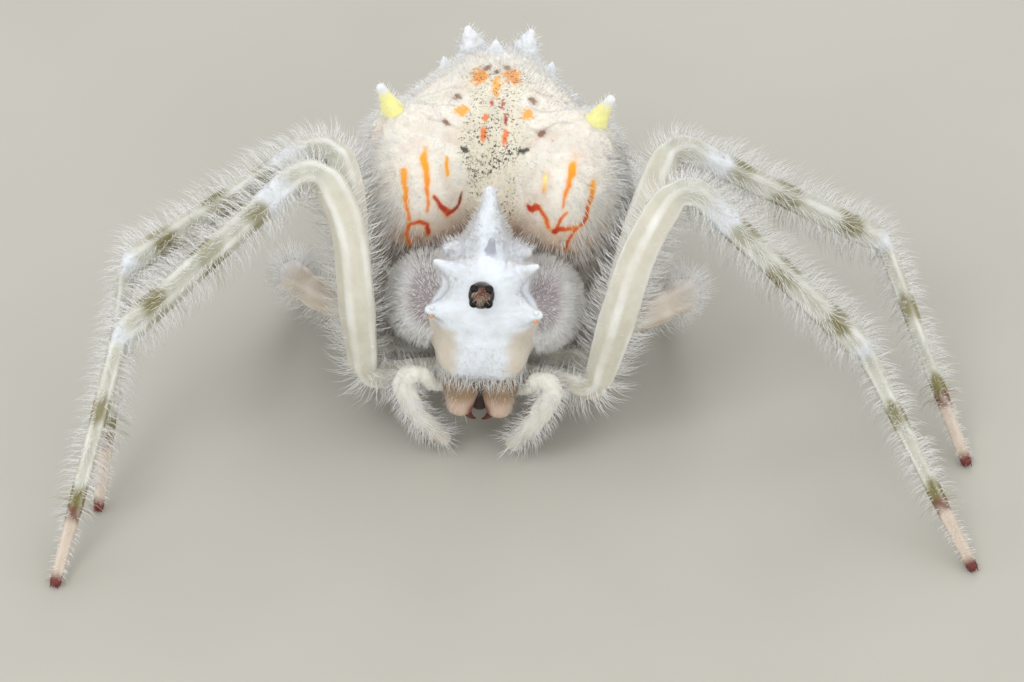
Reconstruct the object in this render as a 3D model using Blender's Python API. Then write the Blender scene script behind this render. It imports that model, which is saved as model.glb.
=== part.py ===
"""A magnificent spider at life size, standing as if on a leaf, as a still museum model.

The body is about 14 mm long and faces -Y. All sizes below are millimetres in the body's own
frame: x = 0 is the body's plane of symmetry, z = 0 is the floor. The last step moves the whole
model so that the middle of its footprint is at the origin.
"""
import math
import random

import bmesh
import bpy
import numpy as np
from mathutils.bvhtree import BVHTree

MM = 0.001
JOINT_GAP = 0.15
SOCKET_GAP = 0.06
EYE_GAP = 0.09
KNOB_GAP = 0.078
SEED = 7

SIDES = ("left", "right")
SIGN = {"left": -1.0, "right": 1.0}

# Cuticle colours, as red, green, blue and roughness.
WHITE_CUTICLE = (0.86, 0.88, 0.87, 0.45)
CREAM_CUTICLE = (0.84, 0.80, 0.73, 0.6)
WAXY_CUTICLE = (0.80, 0.79, 0.70, 0.35)
BANDED_CUTICLE = (0.74, 0.73, 0.62, 0.5)
PINK_CUTICLE = (0.74, 0.62, 0.54, 0.45)
YELLOW_CUTICLE = (0.86, 0.84, 0.36, 0.5)
DARK_CUTICLE = (0.10, 0.05, 0.035, 0.25)
FANG_CUTICLE = (0.24, 0.07, 0.04, 0.2)

# Carapace: ellipsoids as (centre, radii), melted together, and where its underside is cut flat.
CARAPACE_CENTRE = (0.0, -0.7, 4.6)
CARAPACE_FLOOR = 2.95
CARAPACE_BLEND = 0.16
HEAD_BALLS = (
    ((0.0, -1.8, 4.9), (1.3, 1.25, 1.7)),
    ((0.0, -2.2, 3.75), (1.1, 0.98, 1.0)),
    ((0.0, -2.1, 6.05), (0.95, 0.8, 0.75)),
    ((0.0, -0.9, 6.15), (1.0, 1.2, 0.95)),
)
# The head's corners, given for the right: low on the face, at its cheeks and at its crown.
HEAD_CORNERS = (
    ((0.72, -2.25, 3.55), (0.72, 0.92, 0.95)),
    ((0.8, -2.1, 5.0), (0.8, 0.85, 0.85)),
    ((0.65, -1.5, 6.15), (0.7, 0.95, 0.72)),
)
THORAX_BALL = ((0.0, 0.2, 3.95), (2.3, 2.0, 1.35))
THORAX_LOBE = ((1.9, -0.6, 4.45), (1.2, 1.5, 1.4))

# Horns of the carapace: root, tip, root radius and tip radius. A pair is given for the right.
MEDIAN_HORNS = (
    ((0.0, -0.8, 6.4), (0.0, -0.2, 8.65), 1.0, 0.14),
    ((0.0, -1.5, 6.7), (0.0, -1.5, 7.65), 0.3, 0.1),
)
PAIRED_HORNS = (
    ((0.7, -1.75, 6.45), (1.7, -2.1, 7.15), 0.55, 0.17),
    ((0.9, -2.15, 5.3), (1.8, -2.77, 5.63), 0.78, 0.32),
    ((0.6, -0.6, 6.5), (1.5, -0.45, 7.05), 0.6, 0.18),
)
HORN_SIDES = 8

# Eyes: the dark mound that carries the four middle ones, and the side ones on their horns.
MOUND_CENTRE = (-0.1, -2.72, 6.3)
MOUND_FACING = (0.0, -0.86, 0.51)
MOUND_RADIUS = 0.42
MOUND_LENGTH = 0.4
MIDDLE_EYES_AHEAD = 0.07
MIDDLE_EYE_RADIUS = 0.16
MIDDLE_EYE_SPREAD = 0.24
SIDE_EYE_RADIUS = 0.11
SIDE_EYE_APART = 0.34

# Sternum, the plate between the leg bases, and the waist behind it.
STERNUM_CENTRE = (0.0, -0.15, 2.2)
STERNUM_RADII = (1.2, 1.75, 0.5)
LIP_CENTRE = (0.0, -1.75, 1.95)
LIP_RADIUS = 0.4
PEDICEL = ((0.0, 1.55, 3.1), (0.0, 2.9, 3.5), 0.4)

# Abdomen: ellipsoids as (centre, radii), given for the right where they come in pairs.
ABDOMEN_CENTRE = (0.0, 4.9, 5.5)
ABDOMEN_BLEND = 0.3
ABDOMEN_BALLS = (
    ((0.0, 4.9, 5.4), (3.75, 3.4, 2.7)),
    ((0.0, 5.9, 6.2), (3.1, 2.6, 2.1)),
    ((0.0, 7.3, 6.3), (2.2, 2.2, 2.05)),
    ((0.0, 5.0, 3.3), (2.3, 2.9, 1.5)),
)
ABDOMEN_LOBES = (
    ((2.6, 2.45, 6.0), (1.8, 1.65, 2.2)),
    ((2.8, 4.1, 7.2), (1.3, 1.3, 1.35)),
)
# Shoulder knobs: root, tip, root radius and tip radius, for the right.
SHOULDER_KNOB = ((3.15, 4.2, 8.0), (3.78, 4.1, 9.4), 0.55, 0.15)
# Tubercles of the abdomen: where a ray from the centre points, which way the tubercle leans,
# its root radius and its height. All but the first are pairs, given for the right.
MEDIAN_TUBERCLES = (
    ((0.0, 3.1, 2.75), (0.0, 0.2, 1.0), 0.36, 0.5),
    ((0.0, 4.6, 0.6), (0.0, 1.0, 0.3), 0.34, 0.4),
)
PAIRED_TUBERCLES = (
    ((0.75, 3.75, 2.35), (0.2, 0.35, 1.0), 0.5, 0.95),
    ((1.75, 3.0, 2.2), (0.3, 0.3, 1.0), 0.36, 0.45),
    ((1.5, 4.3, 0.9), (0.5, 1.0, 0.4), 0.38, 0.5),
    ((2.75, 2.5, 1.7), (0.7, 0.4, 0.8), 0.32, 0.3),
    ((2.6, 3.3, -0.1), (0.9, 0.8, 0.1), 0.3, 0.35),
)
TUBERCLE_SIDES = 6
TUBERCLE_BLUNTNESS = 0.4
TUBERCLE_SINK = 0.5
SPINNERET_ROOT = (0.0, 7.1, 2.55)
SPINNERET_WAY = (0.0, 0.45, -1.0)
SPINNERET_LENGTH = 0.75
SPINNERET_RADIUS = 0.24

# Jaws and fangs, for the right.
JAW = ((0.58, -2.45, 2.72), (0.55, -2.8, 1.6), 0.54, 0.42)
FANG = ((0.45, -2.65, 1.1), (0.17, -2.3, 0.75), 0.17, 0.07)

# Palps: joints from the mouth to the tip, on each side, and the radius at each.
PALP_JOINTS = {
    "left": ((-1.5, -2.45, 2.3), (-2.0, -2.75, 3.05), (-2.62, -2.95, 2.9), (-2.05, -3.1, 1.6),
             (-1.1, -2.75, 0.35)),
    "right": ((1.5, -2.45, 2.3), (1.9, -2.75, 3.05), (2.45, -2.95, 2.9), (1.9, -3.1, 1.6),
              (1.15, -2.85, 0.35)),
}
PALP_RADII = (0.27, 0.27, 0.29, 0.38, 0.24)
PALP_BEND = 0.5

# Legs: where each coxa meets the sternum, as an angle from straight ahead, then the joints.
COXA_ANGLE = {1: 42.0, 2: 76.0, 3: 106.0, 4: 140.0}
# femur root, two points of the femur's bow, knee, ankle (tibia to metatarsus) and foot
LEG_JOINTS = {
    (1, "left"): ((-3.75, -2.1, 2.2), (-4.1, -2.25, 5.4), (-4.4, -1.55, 8.0), (-5.6, -0.2, 9.55),
                  (-11.5, -4.6, 5.3), (-13.0, -10.7, 0.14)),
    (1, "right"): ((3.75, -2.1, 2.2), (4.3, -2.25, 5.2), (4.9, -1.5, 7.7), (6.15, -0.1, 9.35),
                   (12.4, -1.1, 3.6), (16.0, -7.6, 0.14)),
    (2, "left"): ((-3.95, -0.55, 2.2), (-4.35, -0.4, 5.3), (-4.5, 0.25, 7.9), (-5.2, 1.4, 9.3),
                  (-11.5, -2.0, 6.2), (-12.0, -6.9, 0.14)),
    (2, "right"): ((3.95, -0.55, 2.2), (4.45, 0.2, 4.6), (4.95, 1.7, 6.7), (5.85, 3.9, 7.9),
                   (13.1, 3.9, 4.3), (16.0, -2.3, 0.14)),
    (3, "left"): ((-3.5, 0.75, 2.2), (-4.1, 0.8, 2.5), (-4.7, 0.85, 2.8), (-6.25, 1.0, 3.55),
                  (-6.5, 3.3, 2.5), (-6.0, 5.0, 0.14)),
    (3, "right"): ((3.5, 0.75, 2.2), (4.1, 0.8, 2.5), (4.8, 0.85, 2.9), (6.5, 0.95, 3.75),
                   (6.6, 3.3, 2.5), (6.0, 5.0, 0.14)),
    (4, "left"): ((-3.2, 2.0, 2.2), (-4.1, 3.2, 3.0), (-4.7, 4.5, 3.9), (-4.85, 5.8, 4.3),
                  (-4.5, 9.3, 2.6), (-3.9, 12.2, 0.14)),
    (4, "right"): ((3.2, 2.0, 2.2), (4.1, 3.2, 3.0), (4.7, 4.5, 3.9), (4.85, 5.8, 4.3),
                   (4.5, 9.3, 2.6), (3.9, 12.2, 0.14)),
}
COXA_HEIGHT = 2.25
KNEE_BEND = 0.8
LEG_BEND = 0.65
TARSUS_SHARE = 0.27
# Radius at the coxa, femur, knee, tibia, ankle, metatarsus end and foot of each leg.
LEG_RADII = {
    1: (0.45, 0.6, 0.46, 0.43, 0.34, 0.25, 0.19),
    2: (0.44, 0.56, 0.45, 0.41, 0.32, 0.25, 0.19),
    3: (0.38, 0.48, 0.56, 0.46, 0.32, 0.24, 0.18),
    4: (0.42, 0.46, 0.42, 0.36, 0.28, 0.24, 0.18),
}
CLAW_LENGTH = 0.34
CLAW_RADIUS = 0.09
CLAW_SIDES = 4
CLAW_SINK = 0.12
TUBE_SIDES = 8
LEG_STEP = 1.9
STRAIGHT = 0.02
TANGENT_REACH = 0.12

# Locks of long hair: distance between rows along the limb, locks in a row, length, width at
# the root, and how steeply they stand: 0 lies flat.
LIMB_LOCKS = {
    "femur": (1.7, 4, 1.0, 0.55, 0.8),
    "tibia": (1.3, 4, 1.15, 0.55, 0.85),
    "metatarsus": (1.4, 3, 1.0, 0.48, 0.75),
    "palp": (0.8, 4, 0.8, 0.45, 0.8),
}
# Size and spacing of the locks on each leg, as a share of the above.
LEG_LOCK_SHARE = {1: 1.0, 2: 1.0, 3: 0.7, 4: 0.9}
# The way that the bare side of a femur looks, and how close to it a lock is left out.
BARE_FACE = (0.0, -0.79, 0.61)
BARE_SHARE = 0.2
# Locks of the body: how many directions are tried all round, then length, width and steepness.
ABDOMEN_LOCKS = (78, 0.9, 0.65, 0.75)
CARAPACE_LOCKS = (80, 0.65, 0.5, 0.7)
FRINGE_LOCKS = (6, 0.75, 0.42, 0.3)
FRINGE_ROOT = (-3.0, 3.3)
FRINGE_STEP = 0.42
# Body hair lies away from these two places on the middle line.
ABDOMEN_PARTING = (0.0, 6.0, 9.5)
CARAPACE_PARTING = (0.0, -1.0, 7.5)
LOCK_THICKNESS = 0.24
LOCK_SINK = 0.22
LOCK_VARIATION = 0.15
LOCK_CLEARANCE = 0.16
# A lock that would touch another node is tried shorter once, and else left out.
LOCK_TRIES = (1.0, 0.75)
# The longest edges that are closed after a union, tried in turn.
SHORT_EDGES = (0.04, 0.033, 0.027, 0.02, 0.014, 0.008, 0.004)
FOLDED = math.radians(178.5)


def unit(vector):
    """The vector at length 1."""
    vector = np.asarray(vector, float)
    return vector / np.linalg.norm(vector)


def mirrored(point, side):
    """A point given for the right side, on the named side."""
    return np.array((point[0] * SIGN[side], point[1], point[2]))


def clear_scene():
    """Empties the scene that Blender starts with."""
    for obj in list(bpy.data.objects):
        bpy.data.objects.remove(obj)


def material(name, look):
    """A plain cuticle material, made once."""
    found = bpy.data.materials.get(name)
    if found:
        return found
    made = bpy.data.materials.new(name)
    made.use_nodes = True
    shader = made.node_tree.nodes["Principled BSDF"]
    shader.inputs["Base Color"].default_value = (*look[:3], 1.0)
    shader.inputs["Roughness"].default_value = look[3]
    shader.inputs["Metallic"].default_value = 0.0
    return made


def mesh_object(name, points, faces):
    """A mesh object from points in millimetres, with its faces turned outwards."""
    mesh = bpy.data.meshes.new(name)
    mesh.from_pydata([tuple(p) for p in np.asarray(points, float) * MM], [], faces)
    bm = bmesh.new()
    bm.from_mesh(mesh)
    bmesh.ops.recalc_face_normals(bm, faces=bm.faces)
    bmesh.ops.triangulate(bm, faces=bm.faces)
    bm.to_mesh(mesh)
    bm.free()
    obj = bpy.data.objects.new(name, mesh)
    bpy.context.scene.collection.objects.link(obj)
    return obj


def finish_node(obj, name, look):
    """Names a finished node, shades it smooth and gives it its material."""
    obj.name = name
    obj.data.name = name
    obj.data.materials.clear()
    obj.data.materials.append(material(name.rstrip("0123456789") + "_cuticle", look))
    obj.data.shade_smooth()
    obj.data.set_sharp_from_angle(angle=math.radians(50))
    return obj


def ellipsoid_distance(points, centre, radii):
    """About how far each point lies outside an ellipsoid."""
    scaled = (points - np.array(centre)) / np.array(radii)
    reach = np.linalg.norm(scaled, axis=1)
    slope = np.linalg.norm(scaled / np.array(radii), axis=1)
    return reach * (reach - 1.0) / np.maximum(slope, 1e-9)


def melted_distance(points, balls, blend):
    """About how far each point lies outside several ellipsoids melted into one body."""
    near = np.array([ellipsoid_distance(points, *ball) for ball in balls])
    return -blend * np.log(np.exp(-near / blend).sum(axis=0))


def melted_surface(centre, directions, balls, blend, far=12.0):
    """Where rays from the centre leave the melted body, for each direction."""
    directions = np.asarray(directions, float)
    directions = directions / np.linalg.norm(directions, axis=1)[:, None]
    centre = np.array(centre)
    inside, outside = np.zeros(len(directions)), np.full(len(directions), far)
    for _ in range(40):
        middle = (inside + outside) / 2
        out = melted_distance(centre + directions * middle[:, None], balls, blend) > 0
        outside = np.where(out, middle, outside)
        inside = np.where(out, inside, middle)
    return centre + directions * outside[:, None]


def melted_body(name, centre, balls, blend, detail, floor=None):
    """A closed body round the centre, as a subdivided icosahedron drawn out to the surface."""
    bm = bmesh.new()
    bmesh.ops.create_icosphere(bm, subdivisions=detail, radius=1.0)
    points = melted_surface(centre, [v.co[:] for v in bm.verts], balls, blend)
    if floor is not None:
        points[:, 2] = np.maximum(points[:, 2], floor)
    faces = [[v.index for v in face.verts] for face in bm.faces]
    bm.free()
    return mesh_object(name, points, faces)


def both_sides(balls):
    """Ellipsoids given for the right, with their mirror images."""
    return [(tuple(mirrored(centre, side)), radii) for side in SIDES for centre, radii in balls]


def carapace_balls():
    """The ellipsoids of the carapace."""
    return [*HEAD_BALLS, THORAX_BALL, *both_sides([*HEAD_CORNERS, THORAX_LOBE])]


def abdomen_balls():
    """The ellipsoids of the abdomen."""
    return [*ABDOMEN_BALLS, *both_sides(ABDOMEN_LOBES)]


def filleted(joints, bends, step=0.45, turn=28.0):
    """A smooth line through a polyline's corners, each rounded to its own bend radius.

    Straight stretches get a point about every step, and arcs one for every turn in degrees.
    """
    joints = [np.array(p, float) for p in joints]
    line = [joints[0]]
    for before, corner, after, bend in zip(joints, joints[1:], joints[2:], bends):
        along, onward = unit(corner - before), unit(after - corner)
        angle = math.acos(max(-1.0, min(1.0, float(along @ onward))))
        if angle < STRAIGHT:
            line.append(corner)
            continue
        limit = 0.48 * min(np.linalg.norm(corner - before), np.linalg.norm(after - corner))
        reach = min(bend * math.tan(angle / 2), limit)
        radius = reach / math.tan(angle / 2)
        inward = unit(onward - along * (along @ onward))
        start = corner - along * reach
        count = max(1, math.ceil(math.degrees(angle) / turn))
        for k in range(count + 1):
            a = angle * k / count
            line.append(start + radius * (math.sin(a) * along + (1 - math.cos(a)) * inward))
    line.append(joints[-1])
    dense = [line[0]]
    for p in line[1:]:
        length = np.linalg.norm(p - dense[-1])
        if length < 1e-6:
            continue
        count = max(1, round(length / step))
        start = dense[-1]
        dense += [start + (p - start) * (k + 1) / count for k in range(count)]
    return np.array(dense)


def lengths_along(line):
    """The distance from the line's start to each of its points."""
    return np.concatenate([[0.0], np.cumsum(np.linalg.norm(np.diff(line, axis=0), axis=1))])


def point_at(line, distances, where):
    """The point that lies at a distance along the line."""
    return np.array([np.interp(where, distances, line[:, axis]) for axis in range(3)])


def nearest_along(line, along, target):
    """How far along the line it comes nearest to a point."""
    fine = np.linspace(0, along[-1], 800)
    points = np.array([point_at(line, along, s) for s in fine])
    return fine[np.argmin(np.linalg.norm(points - np.array(target), axis=1))]


def tangents_at(line, along, where):
    """The directions of a line at distances along it."""
    ahead = np.array([point_at(line, along, s + TANGENT_REACH) for s in where])
    behind = np.array([point_at(line, along, s - TANGENT_REACH) for s in where])
    directions = ahead - behind
    return directions / np.linalg.norm(directions, axis=1)[:, None]


def frames_along(line, tangents=None):
    """Two directions across the line at each point, carried along it without twisting."""
    if tangents is None:
        tangents = np.gradient(line, axis=0)
        tangents /= np.linalg.norm(tangents, axis=1)[:, None]
    across = np.cross(tangents[0], (0.0, 0.0, 1.0))
    if np.linalg.norm(across) < 0.1:
        across = np.cross(tangents[0], (0.0, 1.0, 0.0))
    across = unit(across)
    frames = []
    for tangent in tangents:
        across = unit(across - tangent * (across @ tangent))
        frames.append((tangent, across, np.cross(tangent, across)))
    return frames


def tube(name, line, radii, sides=TUBE_SIDES, end="flat", tangents=None):
    """A closed tube round a line. Its far end is flat, a blunt nib or a rounder dome."""
    frames = frames_along(line, tangents)
    turns = [2 * math.pi * k / sides for k in range(sides)]
    points, faces = [], []

    def ring(centre, frame, radius):
        _, across, up = frame
        points.extend(centre + radius * (math.cos(a) * across + math.sin(a) * up) for a in turns)

    for centre, frame, radius in zip(line, frames, radii):
        ring(centre, frame, radius)
    if end == "dome":
        ring(line[-1] + frames[-1][0] * radii[-1] * 0.6, frames[-1], radii[-1] * 0.75)
    rings = len(points) // sides
    for k in range(rings - 1):
        for j in range(sides):
            a, b = k * sides + j, k * sides + (j + 1) % sides
            faces.append((a, b, b + sides, a + sides))
    faces.append(tuple(range(sides)))
    last = (rings - 1) * sides
    if end == "flat":
        faces.append(tuple(range(last, last + sides)))
    else:
        points.append(line[-1] + frames[-1][0] * radii[-1])
        faces += [(last + j, last + (j + 1) % sides, len(points) - 1) for j in range(sides)]
    return mesh_object(name, points, faces)


def cone(name, root, tip, root_radius, tip_radius, sides=HORN_SIDES):
    """A horn with a blunt tip and sides that curve in a little."""
    root, tip = np.array(root, float), np.array(tip, float)
    middle_radius = tip_radius + (root_radius - tip_radius) * 0.48
    line = np.array([root, root + (tip - root) * 0.45, root + (tip - root) * 0.9])
    return tube(name, line, (root_radius, middle_radius, tip_radius), sides, end="nib")


def ball(name, centre, radius, detail=2):
    """A small faceted sphere."""
    bm = bmesh.new()
    bmesh.ops.create_icosphere(bm, subdivisions=detail, radius=radius)
    points = [np.array(v.co) + np.array(centre) for v in bm.verts]
    faces = [[v.index for v in face.verts] for face in bm.faces]
    bm.free()
    return mesh_object(name, points, faces)


def apply_modifiers(obj):
    """Replaces an object's mesh by the one that its modifiers make."""
    graph = bpy.context.evaluated_depsgraph_get()
    graph.update()
    mesh = bpy.data.meshes.new_from_object(obj.evaluated_get(graph))
    obj.modifiers.clear()
    obj.data = mesh


def keep_largest(obj):
    """Keeps an object's largest closed surface, which fills a sealed hollow."""
    bm = bmesh.new()
    bm.from_mesh(obj.data)
    bmesh.ops.remove_doubles(bm, verts=bm.verts, dist=1e-7)
    left, groups = set(bm.faces), []
    while left:
        group, edge = set(), [left.pop()]
        while edge:
            face = edge.pop()
            group.add(face)
            for e in face.edges:
                for other in e.link_faces:
                    if other in left:
                        left.discard(other)
                        edge.append(other)
        groups.append(group)
    largest = max(groups, key=lambda g: sum(f.calc_area() for f in g))
    bmesh.ops.delete(bm, geom=[f for f in bm.faces if f not in largest], context="FACES")
    bmesh.ops.triangulate(bm, faces=bm.faces)
    bm.to_mesh(obj.data)
    bm.free()


def fuse(obj, pieces):
    """Joins closed pieces to an object in one Boolean union."""
    if not pieces:
        return obj
    group = bpy.data.collections.new("pieces")
    for piece in pieces:
        group.objects.link(piece)
    union = obj.modifiers.new("union", "BOOLEAN")
    union.operation = "UNION"
    union.operand_type = "COLLECTION"
    union.collection = group
    union.solver = "MANIFOLD"
    apply_modifiers(obj)
    for piece in pieces:
        bpy.data.objects.remove(piece)
    bpy.data.collections.remove(group)
    keep_largest(obj)
    return obj


def cut(obj, cutter):
    """Takes a closed cutter out of an object."""
    difference = obj.modifiers.new("cut", "BOOLEAN")
    difference.operation = "DIFFERENCE"
    difference.object = cutter
    apply_modifiers(obj)
    bpy.data.objects.remove(cutter)
    keep_largest(obj)
    return obj


def floor_cut(obj):
    """Cuts off what reaches under the floor, which leaves a small flat there."""
    depth = 2.0
    half = 5.0
    x, y, _ = np.array([v.co[:] for v in obj.data.vertices]).mean(axis=0) / MM
    corners = [(x + i * half, y + j * half, k) for k in (-depth, 0.0) for j in (-1, 1) for i in (-1, 1)]
    faces = [(0, 1, 3, 2), (4, 6, 7, 5), (0, 4, 5, 1), (2, 3, 7, 6), (0, 2, 6, 4), (1, 5, 7, 3)]
    return cut(obj, mesh_object("floor_cutter", corners, faces))


def grown_balls(balls, gap):
    """The ellipsoids, each larger by a gap all round."""
    return [(centre, tuple(r + gap for r in radii)) for centre, radii in balls]


def make_carapace():
    """The carapace with its crown of horns, and the sockets of the side eyes."""
    body = melted_body("carapace", CARAPACE_CENTRE, carapace_balls(), CARAPACE_BLEND, 4, CARAPACE_FLOOR)
    room = grown_balls(abdomen_balls(), JOINT_GAP)
    cut(body, melted_body("abdomen_room", ABDOMEN_CENTRE, room, ABDOMEN_BLEND, 4))
    horns = [cone("horn", *horn) for horn in MEDIAN_HORNS]
    for side in SIDES:
        for root, tip, root_radius, tip_radius in PAIRED_HORNS:
            horns.append(cone("horn", mirrored(root, side), mirrored(tip, side), root_radius, tip_radius))
    fuse(body, horns)
    cut(body, mound_body("socket", MOUND_RADIUS + SOCKET_GAP, MOUND_LENGTH + SOCKET_GAP))
    cut(body, tube("socket", *pedicel_line(JOINT_GAP), 8))
    for side in SIDES:
        for centre in side_eye_centres(side):
            cut(body, ball("socket", centre, SIDE_EYE_RADIUS + EYE_GAP, 1))
    return finish_node(body, "carapace", WHITE_CUTICLE)


def mound_body(name, radius, length):
    """The short post, with a domed end, that carries the middle eyes."""
    facing = unit(MOUND_FACING)
    start = np.array(MOUND_CENTRE) - facing * (length - MOUND_LENGTH)
    line = np.array([start, start + facing * length])
    return tube(name, line, (radius, radius * 0.97), 10, end="dome")


def middle_eye_centres():
    """The four middle eyes: two above and two below, on the mound's rim."""
    facing = unit(MOUND_FACING)
    up = unit(np.cross((1.0, 0.0, 0.0), facing))
    up = up if up[2] > 0 else -up
    front = np.array(MOUND_CENTRE) + facing * (MOUND_LENGTH + MIDDLE_EYES_AHEAD)
    centres = {}
    for side in SIDES:
        across = np.array((SIGN[side], 0.0, 0.0)) * MIDDLE_EYE_SPREAD
        centres["upper_middle", side] = front + across + up * MIDDLE_EYE_SPREAD
        centres["lower_middle", side] = front + across - up * MIDDLE_EYE_SPREAD
    return centres


def side_eye_centres(side):
    """The two eyes at the tip of each lower side horn."""
    tip = mirrored(PAIRED_HORNS[1][1], side)
    inward = np.array((-SIGN[side] * 0.06, -0.08, 0.0))
    apart = np.array((0.0, -0.2, 0.98)) * SIDE_EYE_APART / 2
    return [tip + inward + apart, tip + inward - apart]


def make_eyes():
    """The dark mound with its four eyes, and the two pairs of side eyes."""
    mound = mound_body("eye_mound", MOUND_RADIUS, MOUND_LENGTH)
    nodes = []
    for (place, side), centre in middle_eye_centres().items():
        cut(mound, ball("socket", centre, MIDDLE_EYE_RADIUS + EYE_GAP, 1))
        eye = ball("eye", centre, MIDDLE_EYE_RADIUS)
        nodes.append(finish_node(eye, f"eye_{place}_{side}", DARK_CUTICLE))
    nodes.append(finish_node(mound, "eye_mound", DARK_CUTICLE))
    for side in SIDES:
        for place, centre in zip(("upper", "lower"), side_eye_centres(side)):
            eye = ball("eye", centre, SIDE_EYE_RADIUS)
            nodes.append(finish_node(eye, f"eye_{place}_side_{side}", DARK_CUTICLE))
    return nodes


def make_sternum():
    """The plate between the coxae, with the lip in front of it."""
    plate = melted_body("sternum", STERNUM_CENTRE, [(STERNUM_CENTRE, STERNUM_RADII)], 0.05, 2)
    fuse(plate, [ball("lip", LIP_CENTRE, LIP_RADIUS)])
    return finish_node(plate, "sternum", PINK_CUTICLE)


def make_abdomen():
    """The abdomen with its tubercles, the two yellow knobs in their sockets, and the spinnerets."""
    balls = abdomen_balls()
    body = melted_body("abdomen", ABDOMEN_CENTRE, balls, ABDOMEN_BLEND, 4)
    pieces = []

    def tubercle(direction, lean, radius, height):
        base = melted_surface(ABDOMEN_CENTRE, [direction], balls, ABDOMEN_BLEND)[0]
        lean = unit(lean)
        root, tip = base - lean * TUBERCLE_SINK, base + lean * height
        pieces.append(cone("tubercle", root, tip, radius, radius * TUBERCLE_BLUNTNESS, TUBERCLE_SIDES))

    for one in MEDIAN_TUBERCLES:
        tubercle(*one)
    for side in SIDES:
        for direction, lean, radius, height in PAIRED_TUBERCLES:
            tubercle(mirrored(direction, side), mirrored(lean, side), radius, height)
    fuse(body, pieces)
    nodes = []
    for side in SIDES:
        root, tip, root_radius, tip_radius = SHOULDER_KNOB
        root, tip = mirrored(root, side), mirrored(tip, side)
        grown = unit(root - tip) * JOINT_GAP
        cut(body, cone("socket", root + grown, tip - grown, root_radius + KNOB_GAP, tip_radius + KNOB_GAP))
        knob = cone("knob", root, tip, root_radius, tip_radius)
        nodes.append(finish_node(knob, f"shoulder_knob_{side}", YELLOW_CUTICLE))
    cut(body, tube("socket", *spinneret_socket(), 10))
    cut(body, tube("socket", *pedicel_line(JOINT_GAP), 8))
    nodes.append(finish_node(body, "abdomen", CREAM_CUTICLE))
    nodes.append(make_spinnerets())
    return nodes


def spinneret_socket():
    """Line and radii of the round recess that the spinnerets stand in."""
    root = np.array(SPINNERET_ROOT)
    down = unit(SPINNERET_WAY)
    line = np.array([root - down * JOINT_GAP, root + down * 1.6])
    return line, (SPINNERET_RADIUS * 3.0, SPINNERET_RADIUS * 3.2)


def make_spinnerets():
    """Three pairs of short spinning tubes on one low stump."""
    root = np.array(SPINNERET_ROOT)
    down = unit(SPINNERET_WAY)
    stump = tube("spinnerets", np.array([root, root + down * 0.5]), (0.55, 0.48), 10)
    pieces = []
    for row, (along, spread) in enumerate(((-0.25, 0.2), (0.0, 0.12), (0.24, 0.2))):
        for side in SIDES:
            start = root + down * 0.3 + np.array((SIGN[side] * spread, along, 0.0))
            end = start + unit(down + np.array((SIGN[side] * 0.15, along, 0.0))) * SPINNERET_LENGTH
            thick = SPINNERET_RADIUS * (0.75 if row == 1 else 1.0)
            pieces.append(cone("spinneret", start, end, thick, thick * 0.5, 5))
    fuse(stump, pieces)
    tidy_seams(stump)
    return finish_node(stump, "spinnerets", PINK_CUTICLE)


def pedicel_line(grown=0.0):
    """Line and radii of the waist between carapace and abdomen."""
    front, back, radius = PEDICEL
    front, back = np.array(front), np.array(back)
    longer = unit(back - front) * grown
    return np.array([front - longer, back + longer]), (radius + grown, radius + grown)


def make_pedicel():
    """The narrow waist."""
    return finish_node(tube("pedicel", *pedicel_line(), 8), "pedicel", PINK_CUTICLE)


def make_mouth():
    """Jaws with their fangs folded under."""
    nodes = []
    for side in SIDES:
        top, bottom, top_radius, bottom_radius = JAW
        top, bottom = mirrored(top, side), mirrored(bottom, side)
        line = np.array([top, top * 0.6 + bottom * 0.4, bottom])
        jaw = tube("jaw", line, (top_radius * 0.9, top_radius, bottom_radius), 10, end="dome")
        root, tip, root_radius, tip_radius = FANG
        root, tip = mirrored(root, side), mirrored(tip, side)
        cut(jaw, ball("socket", root, root_radius + JOINT_GAP))
        nodes.append(finish_node(jaw, f"jaw_{side}", PINK_CUTICLE))
        fang = cone("fang", root, tip, root_radius, tip_radius, 7)
        nodes.append(finish_node(fang, f"fang_{side}", FANG_CUTICLE))
    return nodes


def make_palps(sites):
    """Each palp as an upper part to its knee and a bushy lower part."""
    nodes = []
    for side in SIDES:
        joints = np.array(PALP_JOINTS[side])
        line = filleted(joints, [PALP_BEND] * 3, step=0.6)
        along = lengths_along(line)
        corners = [nearest_along(line, along, joint) for joint in joints]
        split = nearest_along(line, along, (joints[1] + joints[2]) / 2)
        for name, start, end, domed in (
            (f"palp_upper_{side}", 0.0, split, False),
            (f"palp_lower_{side}", split, along[-1], True),
        ):
            piece, where, tangents = stretch(line, along, start, end)
            radii = np.interp(where, corners, PALP_RADII)
            obj = tube(name, piece, radii, end="dome" if domed else "flat", tangents=tangents)
            if domed:
                floor_cut(obj)
                sites[name] = limb_sites("palp", piece, where, radii, tangents)
            nodes.append(finish_node(obj, name, WAXY_CUTICLE))
    return nodes


def stretch(line, along, start, end):
    """A line between two distances along it, held back from joints at its ends.

    Returns its points, their distances and the directions there. Both pieces that meet at a
    joint take the direction at its middle, so their faces are parallel.
    """
    half = JOINT_GAP / 2
    first = start + half if start > 0 else start
    last = end - half if end < along[-1] else end
    inner = [s for s in along if first + 0.1 < s < last - 0.1]
    where = np.array([first, *inner, last])
    tangents = tangents_at(line, along, [start, *inner, end])
    points = np.array([point_at(line, along, s) for s in where])
    points[0] = point_at(line, along, start) + tangents[0] * (first - start)
    points[-1] = point_at(line, along, end) - tangents[-1] * (end - last)
    return points, where, tangents


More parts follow.
